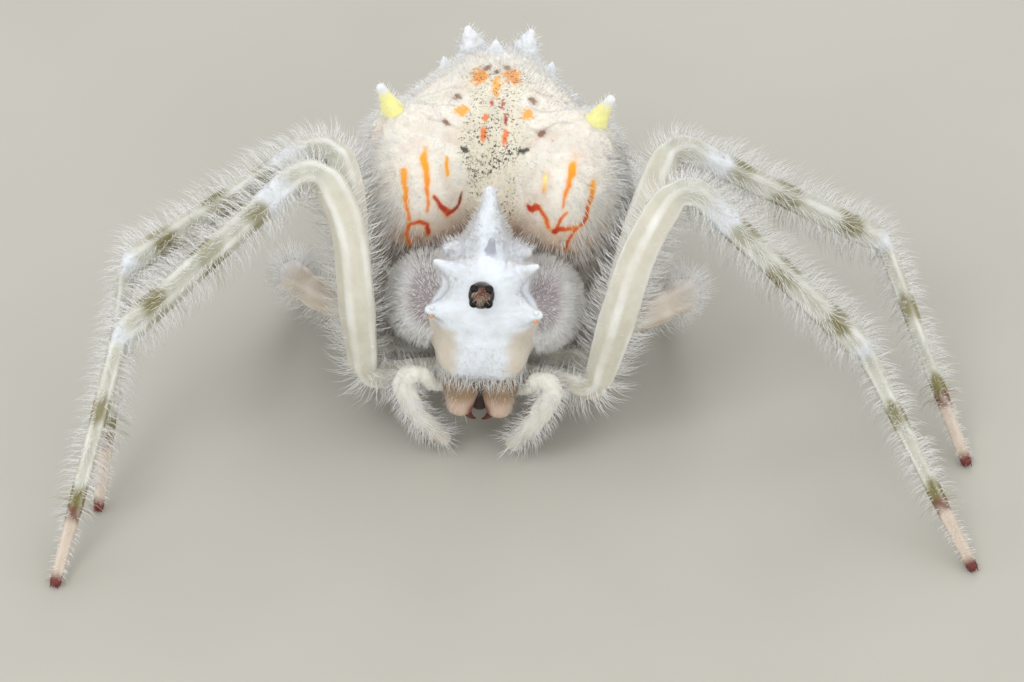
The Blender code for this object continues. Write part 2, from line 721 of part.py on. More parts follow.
def leg_line(number, side):
    """The leg's centre line from the sternum to the foot, and where its joints lie along it."""
    femur_root, bow_low, bow_high, knee, ankle, foot = (np.array(p) for p in LEG_JOINTS[number, side])
    angle = math.radians(COXA_ANGLE[number])
    wide, long, _ = STERNUM_RADII
    ring = np.array((SIGN[side] * math.sin(angle) * wide, -math.cos(angle) * long, 0.0))
    hub = np.array((STERNUM_CENTRE[0], STERNUM_CENTRE[1], COXA_HEIGHT))
    coxa = hub + ring + unit(ring) * JOINT_GAP * 2
    line = filleted(
        (coxa, femur_root, bow_low, bow_high, knee, ankle, foot),
        (LEG_BEND, 6.0, 6.0, KNEE_BEND, LEG_BEND),
        step=LEG_STEP,
    )
    along = lengths_along(line)
    femur_at, knee_at, ankle_at = (nearest_along(line, along, p) for p in (femur_root, knee, ankle))
    wrist_at = along[-1] - (along[-1] - ankle_at) * TARSUS_SHARE
    return line, along, (femur_at, knee_at, ankle_at, wrist_at)


def leg_radii(number, where, along, joints):
    """The leg's radius at distances along it."""
    femur_at, knee_at, ankle_at, wrist_at = joints
    coxa, femur, knee, tibia, ankle, metatarsus, foot = LEG_RADII[number]
    middle = (knee_at + ankle_at) / 2
    stops = (0.0, femur_at, femur_at + (knee_at - femur_at) * 0.35, knee_at - 0.9, knee_at, middle,
             ankle_at - 0.5, ankle_at, ankle_at + 0.8, wrist_at, along[-1])
    sizes = (coxa * 0.72, coxa, femur, (femur + knee) / 2, knee, tibia, tibia * 0.92, ankle,
             (ankle + metatarsus) / 2, metatarsus, foot)
    return np.interp(where, stops, sizes)


def make_claws(line):
    """The pair of claws beside the foot's tip."""
    forward = unit(line[-1] - line[-2])
    across = unit(np.cross(forward, (0.0, 0.0, 1.0)))
    claws = []
    for turn in (-1.0, 1.0):
        root = line[-1] - forward * CLAW_SINK + across * turn * 0.05
        tip = root + unit(forward * 0.8 + across * turn * 0.5) * (CLAW_LENGTH + CLAW_SINK)
        tip[2] = max(tip[2], 0.06)
        claws.append(tube("claw", np.array([root, tip]), (CLAW_RADIUS, CLAW_RADIUS * 0.5), CLAW_SIDES))
    return claws


def is_bare(normal):
    """Whether a place on a femur is on its bare side, which looks forwards and up."""
    return normal @ unit(BARE_FACE) > BARE_SHARE


def make_leg(number, side, sites):
    """One leg as femur with its coxa, tibia with its patella, metatarsus and tarsus."""
    line, along, joints = leg_line(number, side)
    _, knee_at, ankle_at, wrist_at = joints
    pieces = (
        ("femur", 0.0, knee_at, WAXY_CUTICLE),
        ("tibia", knee_at, ankle_at, BANDED_CUTICLE),
        ("metatarsus", ankle_at, wrist_at, BANDED_CUTICLE),
        ("tarsus", wrist_at, along[-1], PINK_CUTICLE),
    )
    nodes = []
    for part, start, end, look in pieces:
        centre, where, tangents = stretch(line, along, start, end)
        radii = leg_radii(number, where, along, joints)
        name = f"leg_{number}_{side}_{part}"
        obj = tube(name, centre, radii, tangents=tangents)
        if part == "tarsus":
            fuse(obj, make_claws(centre))
            floor_cut(obj)
        else:
            bare = is_bare if part == "femur" else None
            share = LEG_LOCK_SHARE[number]
            sites[name] = limb_sites(part, centre, where, radii, tangents, share, bare)
        nodes.append(finish_node(obj, name, look))
    return nodes


def lock(root, normal, lie, length, width, lift):
    """A flat, keeled, tapered lock that rises from the surface and bends over to its lie."""
    normal = unit(normal)
    lie = unit(lie - normal * (lie @ normal))
    across = np.cross(normal, lie)
    rising, bent = unit(lie + normal * (lift + 0.35)), unit(lie + normal * lift * 0.6)
    middle = root + rising * length * 0.45
    tip = middle + bent * length * 0.55
    points = []
    for centre, way, size in ((root - rising * LOCK_SINK, rising, 1.0), (middle, unit(rising + bent), 0.8)):
        side = across * width * size / 2
        keel = np.cross(way, across) * LOCK_THICKNESS * size
        points += [centre + side, centre - side, centre + keel]
    points.append(tip)
    faces = [(0, 1, 2)]
    for k in range(3):
        after = (k + 1) % 3
        faces += [(k, after, after + 3, k + 3), (k + 3, after + 3, 6)]
    return points, faces


def limb_sites(kind, centre, where, radii, tangents, share=1.0, skip=None):
    """Where locks grow on a limb: in staggered rings, leaning towards its far end."""
    row, around, length, width, lift = LIMB_LOCKS[kind]
    frames = frames_along(centre, tangents)
    sites = []
    rows = max(1, round((where[-1] - where[0] - 0.5) / (row * share)))
    for k in range(rows):
        at = where[0] + 0.25 + (where[-1] - where[0] - 0.5) * (k + 0.5) / rows
        low = max(0, int(np.searchsorted(where, at)) - 1)
        mix = (at - where[low]) / (where[low + 1] - where[low])
        middle = centre[low] * (1 - mix) + centre[low + 1] * mix
        radius = radii[low] * (1 - mix) + radii[low + 1] * mix
        tangent, across, up = frames[low]
        for j in range(around):
            angle = 2 * math.pi * (j + 0.5 * (k % 2) + random.uniform(-0.12, 0.12)) / around
            normal = math.cos(angle) * across + math.sin(angle) * up
            if skip and skip(normal):
                continue
            sites.append((middle + normal * radius * 0.95, normal, tangent, length * share, width, lift))
    return sites


def even_directions(count):
    """Directions spread evenly over a sphere."""
    golden = math.pi * (3 - math.sqrt(5))
    heights = 1 - 2 * (np.arange(count) + 0.5) / count
    rings = np.sqrt(1 - heights ** 2)
    turns = golden * np.arange(count)
    return np.stack([rings * np.cos(turns), rings * np.sin(turns), heights], axis=1)


def body_sites(locks, centre, balls, blend, parting, keep):
    """Where locks grow on a melted body, each lying away from its parting."""
    count, length, width, lift = locks
    points = melted_surface(centre, even_directions(count), balls, blend)
    sites = []
    for point in points:
        if not keep(point):
            continue
        nudges = np.eye(3) * 0.01
        slope = melted_distance(point + nudges, balls, blend) - melted_distance(point - nudges, balls, blend)
        sites.append((point, unit(slope), point - np.array(parting), length, width, lift))
    return sites


def carapace_sites():
    """Locks on the round lobes beside the head, and the fringe over the jaws."""
    sites = body_sites(
        CARAPACE_LOCKS, CARAPACE_CENTRE, carapace_balls(), CARAPACE_BLEND, CARAPACE_PARTING,
        lambda p: abs(p[0]) > 1.95 and p[2] > CARAPACE_FLOOR + 0.3,
    )
    count, length, width, lift = FRINGE_LOCKS
    for k in range(count):
        x = (k - (count - 1) / 2) * FRINGE_STEP
        down, front = np.array((x * 0.1, -0.1, -1.0)), np.array((x * 0.3, -1.0, 0.0))
        sites.append((np.array((x, *FRINGE_ROOT)), front, down, length, width, lift))
    return sites


def abdomen_sites():
    """Locks all over the abdomen, apart from its middle groove and its underside."""
    return body_sites(
        ABDOMEN_LOCKS, ABDOMEN_CENTRE, abdomen_balls(), ABDOMEN_BLEND, ABDOMEN_PARTING,
        lambda p: p[2] > 3.0 and (abs(p[0]) > 1.2 or p[1] > 7.5),
    )


def is_sound(bm):
    """Whether a surface is closed, never crosses itself and has no face folded flat on its neighbour."""
    if not all(edge.is_manifold for edge in bm.edges):
        return False
    if any(edge.calc_face_angle() > FOLDED for edge in bm.edges):
        return False
    bm.faces.ensure_lookup_table()
    corners = [{v.index for v in face.verts} for face in bm.faces]
    tree = BVHTree.FromBMesh(bm)
    return all(a == b or corners[a] & corners[b] for a, b in tree.overlap(tree))


def tidy_seams(obj):
    """Closes the shortest edges, which unions leave round each root, while the body stays sound."""
    for longest in SHORT_EDGES:
        bm = bmesh.new()
        bm.from_mesh(obj.data)
        bmesh.ops.dissolve_degenerate(bm, dist=longest * MM, edges=bm.edges)
        bmesh.ops.triangulate(bm, faces=bm.faces)
        bm.verts.index_update()
        sound = is_sound(bm)
        if sound:
            bm.to_mesh(obj.data)
        bm.free()
        if sound:
            return


def tree_of(obj):
    """A search tree of an object's surface, in millimetres."""
    points = [tuple(v.co / MM) for v in obj.data.vertices]
    return BVHTree.FromPolygons(points, [tuple(face.vertices) for face in obj.data.polygons])


def is_clear(points, trees):
    """Whether the points lie outside all the surfaces and clear of them."""
    for tree in trees:
        for point in points:
            place, normal, _, distance = tree.find_nearest(tuple(point))
            if distance < LOCK_CLEARANCE:
                return False
            if distance < 1.5 and (np.array(point) - np.array(place)) @ np.array(normal) < 0:
                return False
    return True


def add_locks(nodes, sites):
    """Grows each node's locks, leaves out those that would touch another node, and fuses them."""
    trees = {obj.name: tree_of(obj) for obj in nodes}
    for obj in nodes:
        others = [tree for name, tree in trees.items() if name != obj.name]
        grown = []
        for root, normal, lie, length, width, lift in sites.get(obj.name, []):
            length, width, lift = (size * (1 + random.uniform(-LOCK_VARIATION, LOCK_VARIATION))
                                   for size in (length, width, lift))
            for shorter in LOCK_TRIES:
                points, faces = lock(root, normal, lie, length * shorter, width, lift)
                outer = points[3:]
                if min(p[2] for p in outer) > LOCK_CLEARANCE and is_clear(outer, others):
                    grown.append(mesh_object("lock", points, faces))
                    break
        if not grown:
            continue
        skin = obj.data.materials[0]
        fuse(obj, grown)
        tidy_seams(obj)
        obj.data.materials.clear()
        obj.data.materials.append(skin)
        for face in obj.data.polygons:
            face.material_index = 0
        obj.data.shade_smooth()
        obj.data.set_sharp_from_angle(angle=math.radians(50))
        trees[obj.name] = tree_of(obj)


def centre_on_floor(nodes):
    """Moves everything so that the middle of the footprint is at the origin, on the floor."""
    points = np.concatenate([np.array([v.co[:] for v in obj.data.vertices]) for obj in nodes])
    low, high = points.min(axis=0), points.max(axis=0)
    stance = bpy.data.objects.new("stance", None)
    bpy.context.scene.collection.objects.link(stance)
    stance.location = (-(low[0] + high[0]) / 2, -(low[1] + high[1]) / 2, -low[2])
    for obj in nodes:
        obj.parent = stance


def main():
    clear_scene()
    random.seed(SEED)
    sites = {"carapace": carapace_sites(), "abdomen": abdomen_sites()}
    nodes = [make_carapace(), make_sternum(), make_pedicel()]
    nodes += make_eyes() + make_abdomen() + make_mouth() + make_palps(sites)
    for number in COXA_ANGLE:
        for side in SIDES:
            nodes += make_leg(number, side, sites)
    add_locks(nodes, sites)
    centre_on_floor(nodes)


main()
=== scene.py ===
"""Looks of the magnificent spider: one skin over the whole body, its coat of hair, the eyes and the claws.

Shapes are worked out in millimetres in the body's own frame, where x = 0 is the plane of symmetry,
z = 0 is the floor and the spider faces -Y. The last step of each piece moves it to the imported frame.
"""
import math

import bmesh
import bpy
import numpy as np
from mathutils import Matrix, Vector, kdtree


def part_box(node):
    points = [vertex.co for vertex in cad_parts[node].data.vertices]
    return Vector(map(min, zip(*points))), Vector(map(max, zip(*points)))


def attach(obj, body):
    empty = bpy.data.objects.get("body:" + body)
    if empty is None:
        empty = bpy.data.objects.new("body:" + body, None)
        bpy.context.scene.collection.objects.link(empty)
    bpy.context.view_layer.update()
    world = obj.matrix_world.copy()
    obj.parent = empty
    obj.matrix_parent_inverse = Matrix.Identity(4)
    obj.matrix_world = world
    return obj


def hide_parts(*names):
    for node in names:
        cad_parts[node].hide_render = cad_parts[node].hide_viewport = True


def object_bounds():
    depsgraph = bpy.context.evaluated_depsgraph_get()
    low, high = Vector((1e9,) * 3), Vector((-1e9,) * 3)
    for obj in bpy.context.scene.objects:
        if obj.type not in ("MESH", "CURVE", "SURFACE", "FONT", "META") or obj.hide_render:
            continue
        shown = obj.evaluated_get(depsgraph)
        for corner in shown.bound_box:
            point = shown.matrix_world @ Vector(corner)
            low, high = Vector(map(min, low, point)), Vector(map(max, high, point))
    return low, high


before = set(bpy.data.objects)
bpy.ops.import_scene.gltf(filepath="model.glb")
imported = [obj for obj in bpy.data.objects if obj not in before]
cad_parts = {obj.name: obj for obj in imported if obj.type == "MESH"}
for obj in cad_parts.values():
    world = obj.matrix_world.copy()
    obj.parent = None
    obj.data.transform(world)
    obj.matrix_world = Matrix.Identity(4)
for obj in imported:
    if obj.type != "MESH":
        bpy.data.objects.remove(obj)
cad_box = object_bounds()

MM = 0.001
SEED = 11
SIDES = ("left", "right")
SIGN = {"left": -1.0, "right": 1.0}
# How fine the skin is, how often it is smoothed all over and round the horns, how finely the two bodies
# are cut before that, and a distance that is surely outside them.
VOXEL = 0.062
SMOOTHING = 3
MELT_ROUNDS = 48
SKIN_DETAIL = 6
BEYOND = 12.0

# The waist lies on the plane of symmetry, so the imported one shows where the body's frame went.
WAIST_CENTRE = (0.0, 2.225, 3.3)
low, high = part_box("pedicel")
SHIFT = np.array((low + high) / 2) / MM - np.array(WAIST_CENTRE)
# No hair stands higher than this.
CEILING = cad_box[1][2] / MM * 1.02

# Carapace: ellipsoids as (centre, radii), melted together. Corners and lobe are given for the right.
CARAPACE_CENTRE = (0.0, -0.7, 4.6)
CARAPACE_FLOOR = 2.95
CARAPACE_BLEND = 0.16
HEAD_BALLS = (
    ((0.0, -1.8, 4.9), (1.3, 1.25, 1.7)),
    ((0.0, -2.2, 3.75), (1.1, 0.98, 1.0)),
    ((0.0, -2.1, 6.05), (0.95, 0.8, 0.75)),
    ((0.0, -0.9, 6.15), (1.0, 1.2, 0.95)),
    ((0.0, -1.45, 6.55), (0.42, 0.62, 0.62)),
)
HEAD_CORNERS = (
    ((0.76, -2.25, 3.55), (0.8, 0.92, 0.98)),
    ((0.8, -2.1, 5.0), (0.8, 0.85, 0.85)),
    ((0.65, -1.5, 6.15), (0.7, 0.95, 0.72)),
)
THORAX_BALL = ((0.0, 0.2, 3.95), (2.3, 2.0, 1.35))
THORAX_LOBE = ((1.9, -0.6, 4.45), (1.2, 1.5, 1.4))
# Dents pressed into the head: place, spread and push. Pairs are given for the right.
MEDIAN_DENTS = (
    ((0.0, -3.3, 4.75), (1.3, 1.0, 0.26), (0.0, 0.08, 0.0)),
    ((-0.1, -3.0, 6.35), (0.75, 0.8, 0.65), (0.0, 0.14, -0.06)),
)
PAIRED_DENTS = (
    ((1.5, -2.4, 6.0), (0.6, 1.1, 0.48), (-0.62, 0.12, 0.0)),
    ((0.7, -1.7, 7.0), (0.32, 0.6, 0.4), (0.0, 0.05, -0.28)),
    ((0.92, -3.1, 3.9), (0.22, 1.0, 0.62), (0.0, 0.07, 0.0)),
    ((1.5, -2.6, 3.1), (0.55, 1.0, 0.5), (-0.1, 0.06, 0.0)),
)

# Horns of the carapace: root, tip, root radius, tip radius and how far they bow. Pairs are given for the
# right.
MEDIAN_HORNS = (
    ((0.0, -0.8, 6.4), (0.0, -0.2, 8.65), 0.9, 0.2, 0.05),
    ((0.08, -1.6, 6.55), (0.15, -1.57, 7.66), 0.29, 0.12, 0.03),
)
PAIRED_HORNS = (
    ((0.68, -1.85, 6.35), (1.66, -2.15, 7.12), 0.66, 0.1, 0.0),
    ((0.7, -2.25, 5.3), (1.82, -2.75, 5.6), 0.95, 0.15, 0.0),
    ((0.5, -0.8, 6.45), (1.3, -0.9, 6.7), 0.62, 0.2, 0.08),
)

# Eyes: the dark mound that carries the four middle ones, and the side ones on the cheek horns.
MOUND_CENTRE = (-0.1, -2.72, 6.3)
MOUND_FACING = (0.0, -0.86, 0.51)
MOUND_RADIUS, MOUND_LENGTH = 0.42, 0.4
MIDDLE_EYE_RADIUS, MIDDLE_EYE_SPREAD = 0.16, 0.225
SIDE_EYE_RADIUS, SIDE_EYE_APART = 0.0825, 0.38

STERNUM_CENTRE = (0.0, -0.15, 2.2)
STERNUM_RADII = (1.2, 1.75, 0.5)
# The dark lip closes the gap between the jaws.
LIP = ((0.0, -1.95, 1.75), (0.46, 0.45, 0.72))
PEDICEL = ((0.0, 1.2, 3.0), (0.0, 3.2, 3.6), 0.42)

# Abdomen: ellipsoids as (centre, radii). The lobes are given for the right.
ABDOMEN_CENTRE = (0.0, 4.9, 5.5)
ABDOMEN_BLEND = 0.3
ABDOMEN_BALLS = (
    ((0.0, 4.9, 5.4), (3.75, 3.4, 2.7)),
    ((0.0, 5.9, 6.2), (3.1, 2.6, 2.1)),
    ((0.0, 7.3, 6.3), (2.2, 2.2, 2.05)),
    ((0.0, 5.0, 3.3), (2.3, 2.9, 1.5)),
)
ABDOMEN_LOBES = (
    ((2.6, 2.45, 6.0), (1.8, 1.65, 2.2)),
    ((2.8, 4.1, 7.2), (1.3, 1.3, 1.35)),
)
# Shoulder knob of the right: root, tip, root radius and tip radius.
SHOULDER_KNOB = ((3.15, 4.2, 8.0), (3.78, 4.1, 9.4), 0.55, 0.15)
# The front of the abdomen is pressed in between its two shoulders.
ABDOMEN_DENTS = (
    ((0.0, 1.6, 7.3), (0.8, 1.9, 1.5), (0.0, 0.75, -0.25)),
)
# Folds round each shoulder knob: how many round it, how deep, and where they start and end.
PLEATS, PLEAT_DEPTH, PLEAT_REACH = 11, 0.05, (0.5, 2.1)
# Tubercles: where a ray from the centre points, which way the tubercle leans, root radius and height.
MEDIAN_TUBERCLES = (
    ((-0.1, 3.1, 2.75), (0.0, 0.2, 1.0), 0.5, 0.42),
    ((0.0, 4.6, 0.6), (0.0, 1.0, 0.3), 0.34, 0.4),
)
PAIRED_TUBERCLES = (
    ((0.85, 3.75, 2.35), (0.3, 0.35, 1.0), 0.75, 0.9),
    ((1.75, 3.0, 2.2), (0.3, 0.3, 1.0), 0.45, 0.4),
    ((1.5, 4.3, 0.9), (0.5, 1.0, 0.4), 0.38, 0.5),
    ((2.75, 2.5, 1.7), (0.7, 0.4, 0.8), 0.32, 0.3),
    ((2.6, 3.3, -0.1), (0.9, 0.8, 0.1), 0.3, 0.35),
)
# Spinnerets: root and way of their stump, and the size of each.
SPINNERET_ROOT, SPINNERET_WAY = (0.0, 7.1, 2.55), (0.0, 0.45, -1.0)
SPINNERET_LENGTH, SPINNERET_RADIUS = 0.75, 0.24

# Jaw and fang of the right: root, tip, root radius and tip radius.
JAW = ((0.6, -2.45, 2.9), (0.64, -2.75, 1.78), 0.62, 0.44)
FANG = ((0.42, -2.65, 1.5), (0.12, -2.5, 1.05), 0.16, 0.04)
FANG_BOW = -0.08

# Joints of the palps from the trochanter to the tip, the radius at each, and how sharply they bend.
PALP_JOINTS = {
    "left": ((-1.5, -2.45, 2.3), (-2.0, -2.75, 3.05), (-2.62, -2.95, 2.9), (-2.05, -3.1, 1.6),
             (-1.1, -2.75, 0.35)),
    "right": ((1.5, -2.45, 2.3), (1.9, -2.75, 3.05), (2.45, -2.95, 2.9), (1.9, -3.1, 1.6),
              (1.15, -2.85, 0.35)),
}
PALP_RADII = (0.27, 0.3, 0.36, 0.37, 0.27)
PALP_BEND = 0.28
PALP_ROOT = (0.85, -2.15, 2.35)

# Legs: where each coxa meets the sternum, as an angle from straight ahead, then the joints: femur root, two
# points of the femur's bow, knee, ankle (tibia to metatarsus) and foot.
COXA_ANGLE = {1: 42.0, 2: 76.0, 3: 106.0, 4: 140.0}
LEG_JOINTS = {
    (1, "left"): ((-3.75, -2.1, 2.2), (-4.1, -2.25, 5.4), (-4.4, -1.55, 8.0), (-5.6, -0.2, 9.55),
                  (-11.5, -4.6, 5.3), (-13.0, -10.7, 0.14)),
    (1, "right"): ((3.75, -2.1, 2.2), (4.3, -2.25, 5.2), (4.9, -1.5, 7.7), (6.15, -0.1, 9.35),
                   (12.4, -1.1, 3.6), (16.0, -7.6, 0.14)),
    (2, "left"): ((-3.95, -0.55, 2.2), (-4.35, -0.4, 5.3), (-4.5, 0.25, 7.9), (-5.2, 1.4, 9.3),
                  (-11.5, -2.0, 6.2), (-12.0, -6.9, 0.14)),
    (2, "right"): ((3.95, -0.55, 2.2), (4.45, 0.2, 4.6), (4.95, 1.7, 6.7), (5.85, 3.9, 7.9),
                   (13.1, 3.9, 4.3), (16.0, -2.3, 0.14)),
    (3, "left"): ((-3.5, 0.75, 2.2), (-4.1, 0.8, 2.5), (-4.7, 0.85, 2.8), (-6.25, 1.0, 3.55),
                  (-6.5, 3.3, 2.5), (-6.0, 5.0, 0.14)),
    (3, "right"): ((3.5, 0.75, 2.2), (4.1, 0.8, 2.5), (4.8, 0.85, 2.9), (6.5, 0.95, 3.75),
                   (6.6, 3.3, 2.5), (6.0, 5.0, 0.14)),
    (4, "left"): ((-3.2, 2.0, 2.2), (-4.1, 3.2, 3.0), (-4.7, 4.5, 3.9), (-4.85, 5.8, 4.3),
                  (-4.5, 9.3, 2.6), (-3.9, 12.2, 0.14)),
    (4, "right"): ((3.2, 2.0, 2.2), (4.1, 3.2, 3.0), (4.7, 4.5, 3.9), (4.85, 5.8, 4.3),
                   (4.5, 9.3, 2.6), (3.9, 12.2, 0.14)),
}
COXA_HEIGHT = 2.25
# Bend radii at the knee, the femur's bow and the other joints, and the degrees from point to point in a bend.
KNEE_BEND, FEMUR_BEND, LEG_BEND, ARC_STEP = 0.8, 6.0, 0.65, 9.0
# The tarsus as a share of the leg from the ankle to the foot.
TARSUS_SHARE = 0.27
# Radius at the coxa, femur, knee, tibia, ankle, metatarsus end and foot of each leg.
LEG_RADII = {
    1: (0.45, 0.6, 0.46, 0.43, 0.34, 0.25, 0.19),
    2: (0.44, 0.56, 0.45, 0.41, 0.32, 0.25, 0.19),
    3: (0.38, 0.48, 0.56, 0.46, 0.32, 0.24, 0.18),
    4: (0.42, 0.46, 0.42, 0.36, 0.28, 0.24, 0.18),
}
PATELLA_LENGTH = 1.5
# How many sides a limb has, and how far apart its rings are.
LIMB_SIDES, LIMB_STEP = 24, 0.2
# Ridges along each leg, and ring folds round each tubercle.
RIDGES, RIDGE_HEIGHT = 5, 0.06
RIPPLES, RIPPLE = 4, 0.15

# What a place on the skin belongs to.
CARAPACE, HORN, SPIKE, ABDOMEN, TUBERCLE, BELLY, LEG, PALP = range(8)
HEAD_KINDS, ABDOMEN_KINDS = (CARAPACE, HORN, SPIKE), (ABDOMEN, TUBERCLE)
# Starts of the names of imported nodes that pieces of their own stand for. The skin stands for the rest.
PIECES_APART = ("eye_", "fang_", "jaw_", "shoulder_knob")

# Colours as red, green and blue from 0 to 1, as a screen shows them.
SNOW = (0.90, 0.93, 0.97)
FACE_BEIGE = (0.80, 0.76, 0.70)
LOBE_GREY = (0.62, 0.58, 0.60)
LOBE_WHITE = (0.86, 0.87, 0.88)
SPIKE_GREY = (0.66, 0.68, 0.73)
CREAM = (0.93, 0.915, 0.88)
# Grey painted as shade along the folds of the abdomen's top and round its pits.
BLUSH = (0.86, 0.78, 0.73)
FOLD_AND_PIT_SHADE = (0.72, 0.68, 0.64)
LOW_BEIGE = (0.85, 0.73, 0.62)
DEEP_BROWN = (0.52, 0.36, 0.24)
GROOVE = (0.89, 0.87, 0.79)
YELLOW_ORANGE = (0.95, 0.66, 0.10)
ORANGE = (0.93, 0.47, 0.05)
AMBER = (0.88, 0.57, 0.10)
RED = (0.74, 0.17, 0.04)
BLACKISH = (0.10, 0.08, 0.07)
WAX = (0.82, 0.81, 0.76)
PALP_WHITE = (0.89, 0.89, 0.86)
# Painted highlight along the ridges of the legs.
RIDGE_HIGHLIGHT = (0.93, 0.94, 0.94)
LEG_WHITE = (0.77, 0.775, 0.73)
OLIVE = (0.47, 0.44, 0.21)
PINKISH = (0.89, 0.81, 0.76)
TARSUS_BEIGE = (0.80, 0.71, 0.65)
CLARET = (0.42, 0.07, 0.06)
MOUTH_DARK = (0.19, 0.06, 0.05)
DEEP_RUST = (0.43, 0.20, 0.10)
KNOB_YELLOW = (0.96, 0.95, 0.62)
JAW_PINK = (0.78, 0.68, 0.61)
# Brown painted on the jaws' upper part as the shadow of the fringe over them.
JAW_FRINGE_SHADOW = (0.50, 0.40, 0.27)
HAIR_WHITE = (0.99, 0.985, 0.97)
CREST_WHITE = (0.97, 0.98, 1.0)
FLECK_BROWN = (0.20, 0.16, 0.13)
MOUND_BROWN = (0.40, 0.31, 0.24)
MOUND_RED = (0.34, 0.13, 0.08)
MOUND_BLACK = (0.05, 0.02, 0.015)
MOUND_CLOUD = (0.14, 0.07, 0.05)
GREY_CLOUD = (0.6, 0.55, 0.5)
SKIN_CLOUD = (0.80, 0.77, 0.70)
HAIR_CLOUD = (0.90, 0.88, 0.85)

np.random.seed(SEED)


def unit(vector):
    """The vector at length 1."""
    vector = np.asarray(vector, float)
    return vector / np.linalg.norm(vector)


def units(vectors):
    """Each row at length 1."""
    return vectors / np.maximum(np.linalg.norm(vectors, axis=1), 1e-9)[:, None]


def mirrored(point, side):
    """A point given for the right side, on the named side."""
    return np.array((point[0] * SIGN[side], point[1], point[2]))


def linear(colour):
    """A screen colour as linear light."""
    colour = np.asarray(colour, float)
    return np.where(colour <= 0.04045, colour / 12.92, ((colour + 0.055) / 1.055) ** 2.4)


def ramp(values, start, end):
    """0 up to start, 1 from end on, and smooth between."""
    t = np.clip((values - start) / (end - start), 0.0, 1.0)
    return t * t * (3 - 2 * t)


def mix(colours, other, share):
    """Colours moved towards another one by a share, which may differ from place to place."""
    return colours + (linear(other) - colours) * np.reshape(np.clip(share, 0.0, 1.0), (-1, 1))


def painted(colour, count, *layers):
    """The colours of some places: one colour under layers of paint, each a colour and its share."""
    colours = np.tile(linear(colour), (count, 1))
    for other, share in layers:
        colours = mix(colours, other, share)
    return colours


def ellipsoid_distance(points, centre, radii):
    """About how far each point lies outside an ellipsoid."""
    scaled = (points - np.array(centre)) / np.array(radii)
    reach = np.linalg.norm(scaled, axis=1)
    slope = np.linalg.norm(scaled / np.array(radii), axis=1)
    return reach * (reach - 1.0) / np.maximum(slope, 1e-9)


def melted_distance(points, balls, blend):
    """About how far each point lies outside several ellipsoids melted into one body."""
    near = np.array([ellipsoid_distance(points, *ball) for ball in balls])
    return -blend * np.log(np.exp(-near / blend).sum(axis=0))


def melted_surface(centre, directions, balls, blend):
    """Where rays from the centre leave the melted body, for each direction."""
    directions = units(np.asarray(directions, float))
    centre = np.array(centre)
    inside, outside = np.zeros(len(directions)), np.full(len(directions), BEYOND)
    for _ in range(30):
        middle = (inside + outside) / 2
        out = melted_distance(centre + directions * middle[:, None], balls, blend) > 0
        outside = np.where(out, middle, outside)
        inside = np.where(out, inside, middle)
    return centre + directions * outside[:, None]


def pressed(points, dents):
    """Points pushed along by each dent, most at its middle."""
    points = points.copy()
    for place, spread, push in dents:
        away = (points - np.array(place)) / np.array(spread)
        points += np.exp(-(away ** 2).sum(axis=1))[:, None] * np.array(push)
    return points


def both_sides(balls):
    """Ellipsoids given for the right, with their mirror images."""
    return [(mirrored(centre, side), radii) for side in SIDES for centre, radii in balls]


def head_dents():
    """All dents of the head."""
    pairs = [(mirrored(place, side), spread, mirrored(push, side))
             for side in SIDES for place, spread, push in PAIRED_DENTS]
    return [*MEDIAN_DENTS, *pairs]


def pleated(points):
    """Shallow folds that fan out from the shoulder knobs."""
    points = points.copy()
    near, end = PLEAT_REACH
    for side in SIDES:
        hub = mirrored(SHOULDER_KNOB[0], side)
        out = unit(mirrored(SHOULDER_KNOB[1], side) - hub)
        across = unit(np.cross(out, (0.0, 1.0, 0.0)))
        up = np.cross(out, across)
        offset = points - hub
        far = np.linalg.norm(offset, axis=1)
        angle = np.arctan2(offset @ up, offset @ across)
        cover = ramp(far, near * 0.6, near) * ramp(-far, -end, -near * 1.4)
        wave = np.sin(angle * PLEATS + 1.2 * np.sin(far * 2.5))
        points += units(points - np.array(ABDOMEN_CENTRE)) * (PLEAT_DEPTH * wave * cover)[:, None]
    return points


def lobe_share(points):
    """How far a place belongs to the round lobes beside the head."""
    head, lobes = (
        np.min([ellipsoid_distance(points, *ball) for ball in balls], axis=0)
        for balls in ((*HEAD_BALLS, *both_sides(HEAD_CORNERS)), both_sides([THORAX_LOBE]))
    )
    return ramp(head - lobes, -0.02, 0.16) * ramp(np.abs(points[:, 0]), 0.9, 1.2)


def filleted(joints, bends):
    """A smooth line in short steps through a polyline's corners, each rounded to its own bend radius."""
    joints = [np.array(p, float) for p in joints]
    line = [joints[0]]
    for before, corner, after, bend in zip(joints, joints[1:], joints[2:], bends):
        along, onward = unit(corner - before), unit(after - corner)
        angle = math.acos(max(-1.0, min(1.0, float(along @ onward))))
        if angle < 0.02:
            line.append(corner)
            continue
        limit = 0.48 * min(np.linalg.norm(corner - before), np.linalg.norm(after - corner))
        reach = min(bend * math.tan(angle / 2), limit)
        radius = reach / math.tan(angle / 2)
        inward = unit(onward - along * (along @ onward))
        start = corner - along * reach
        count = max(1, math.ceil(math.degrees(angle) / ARC_STEP))
        for k in range(count + 1):
            a = angle * k / count
            line.append(start + radius * (math.sin(a) * along + (1 - math.cos(a)) * inward))
    line.append(joints[-1])
    dense = [line[0]]
    for p in line[1:]:
        start = dense[-1]
        length = np.linalg.norm(p - start)
        if length > 1e-6:
            count = max(1, round(length / LIMB_STEP))
            dense += [start + (p - start) * (k + 1) / count for k in range(count)]
    return np.array(dense)


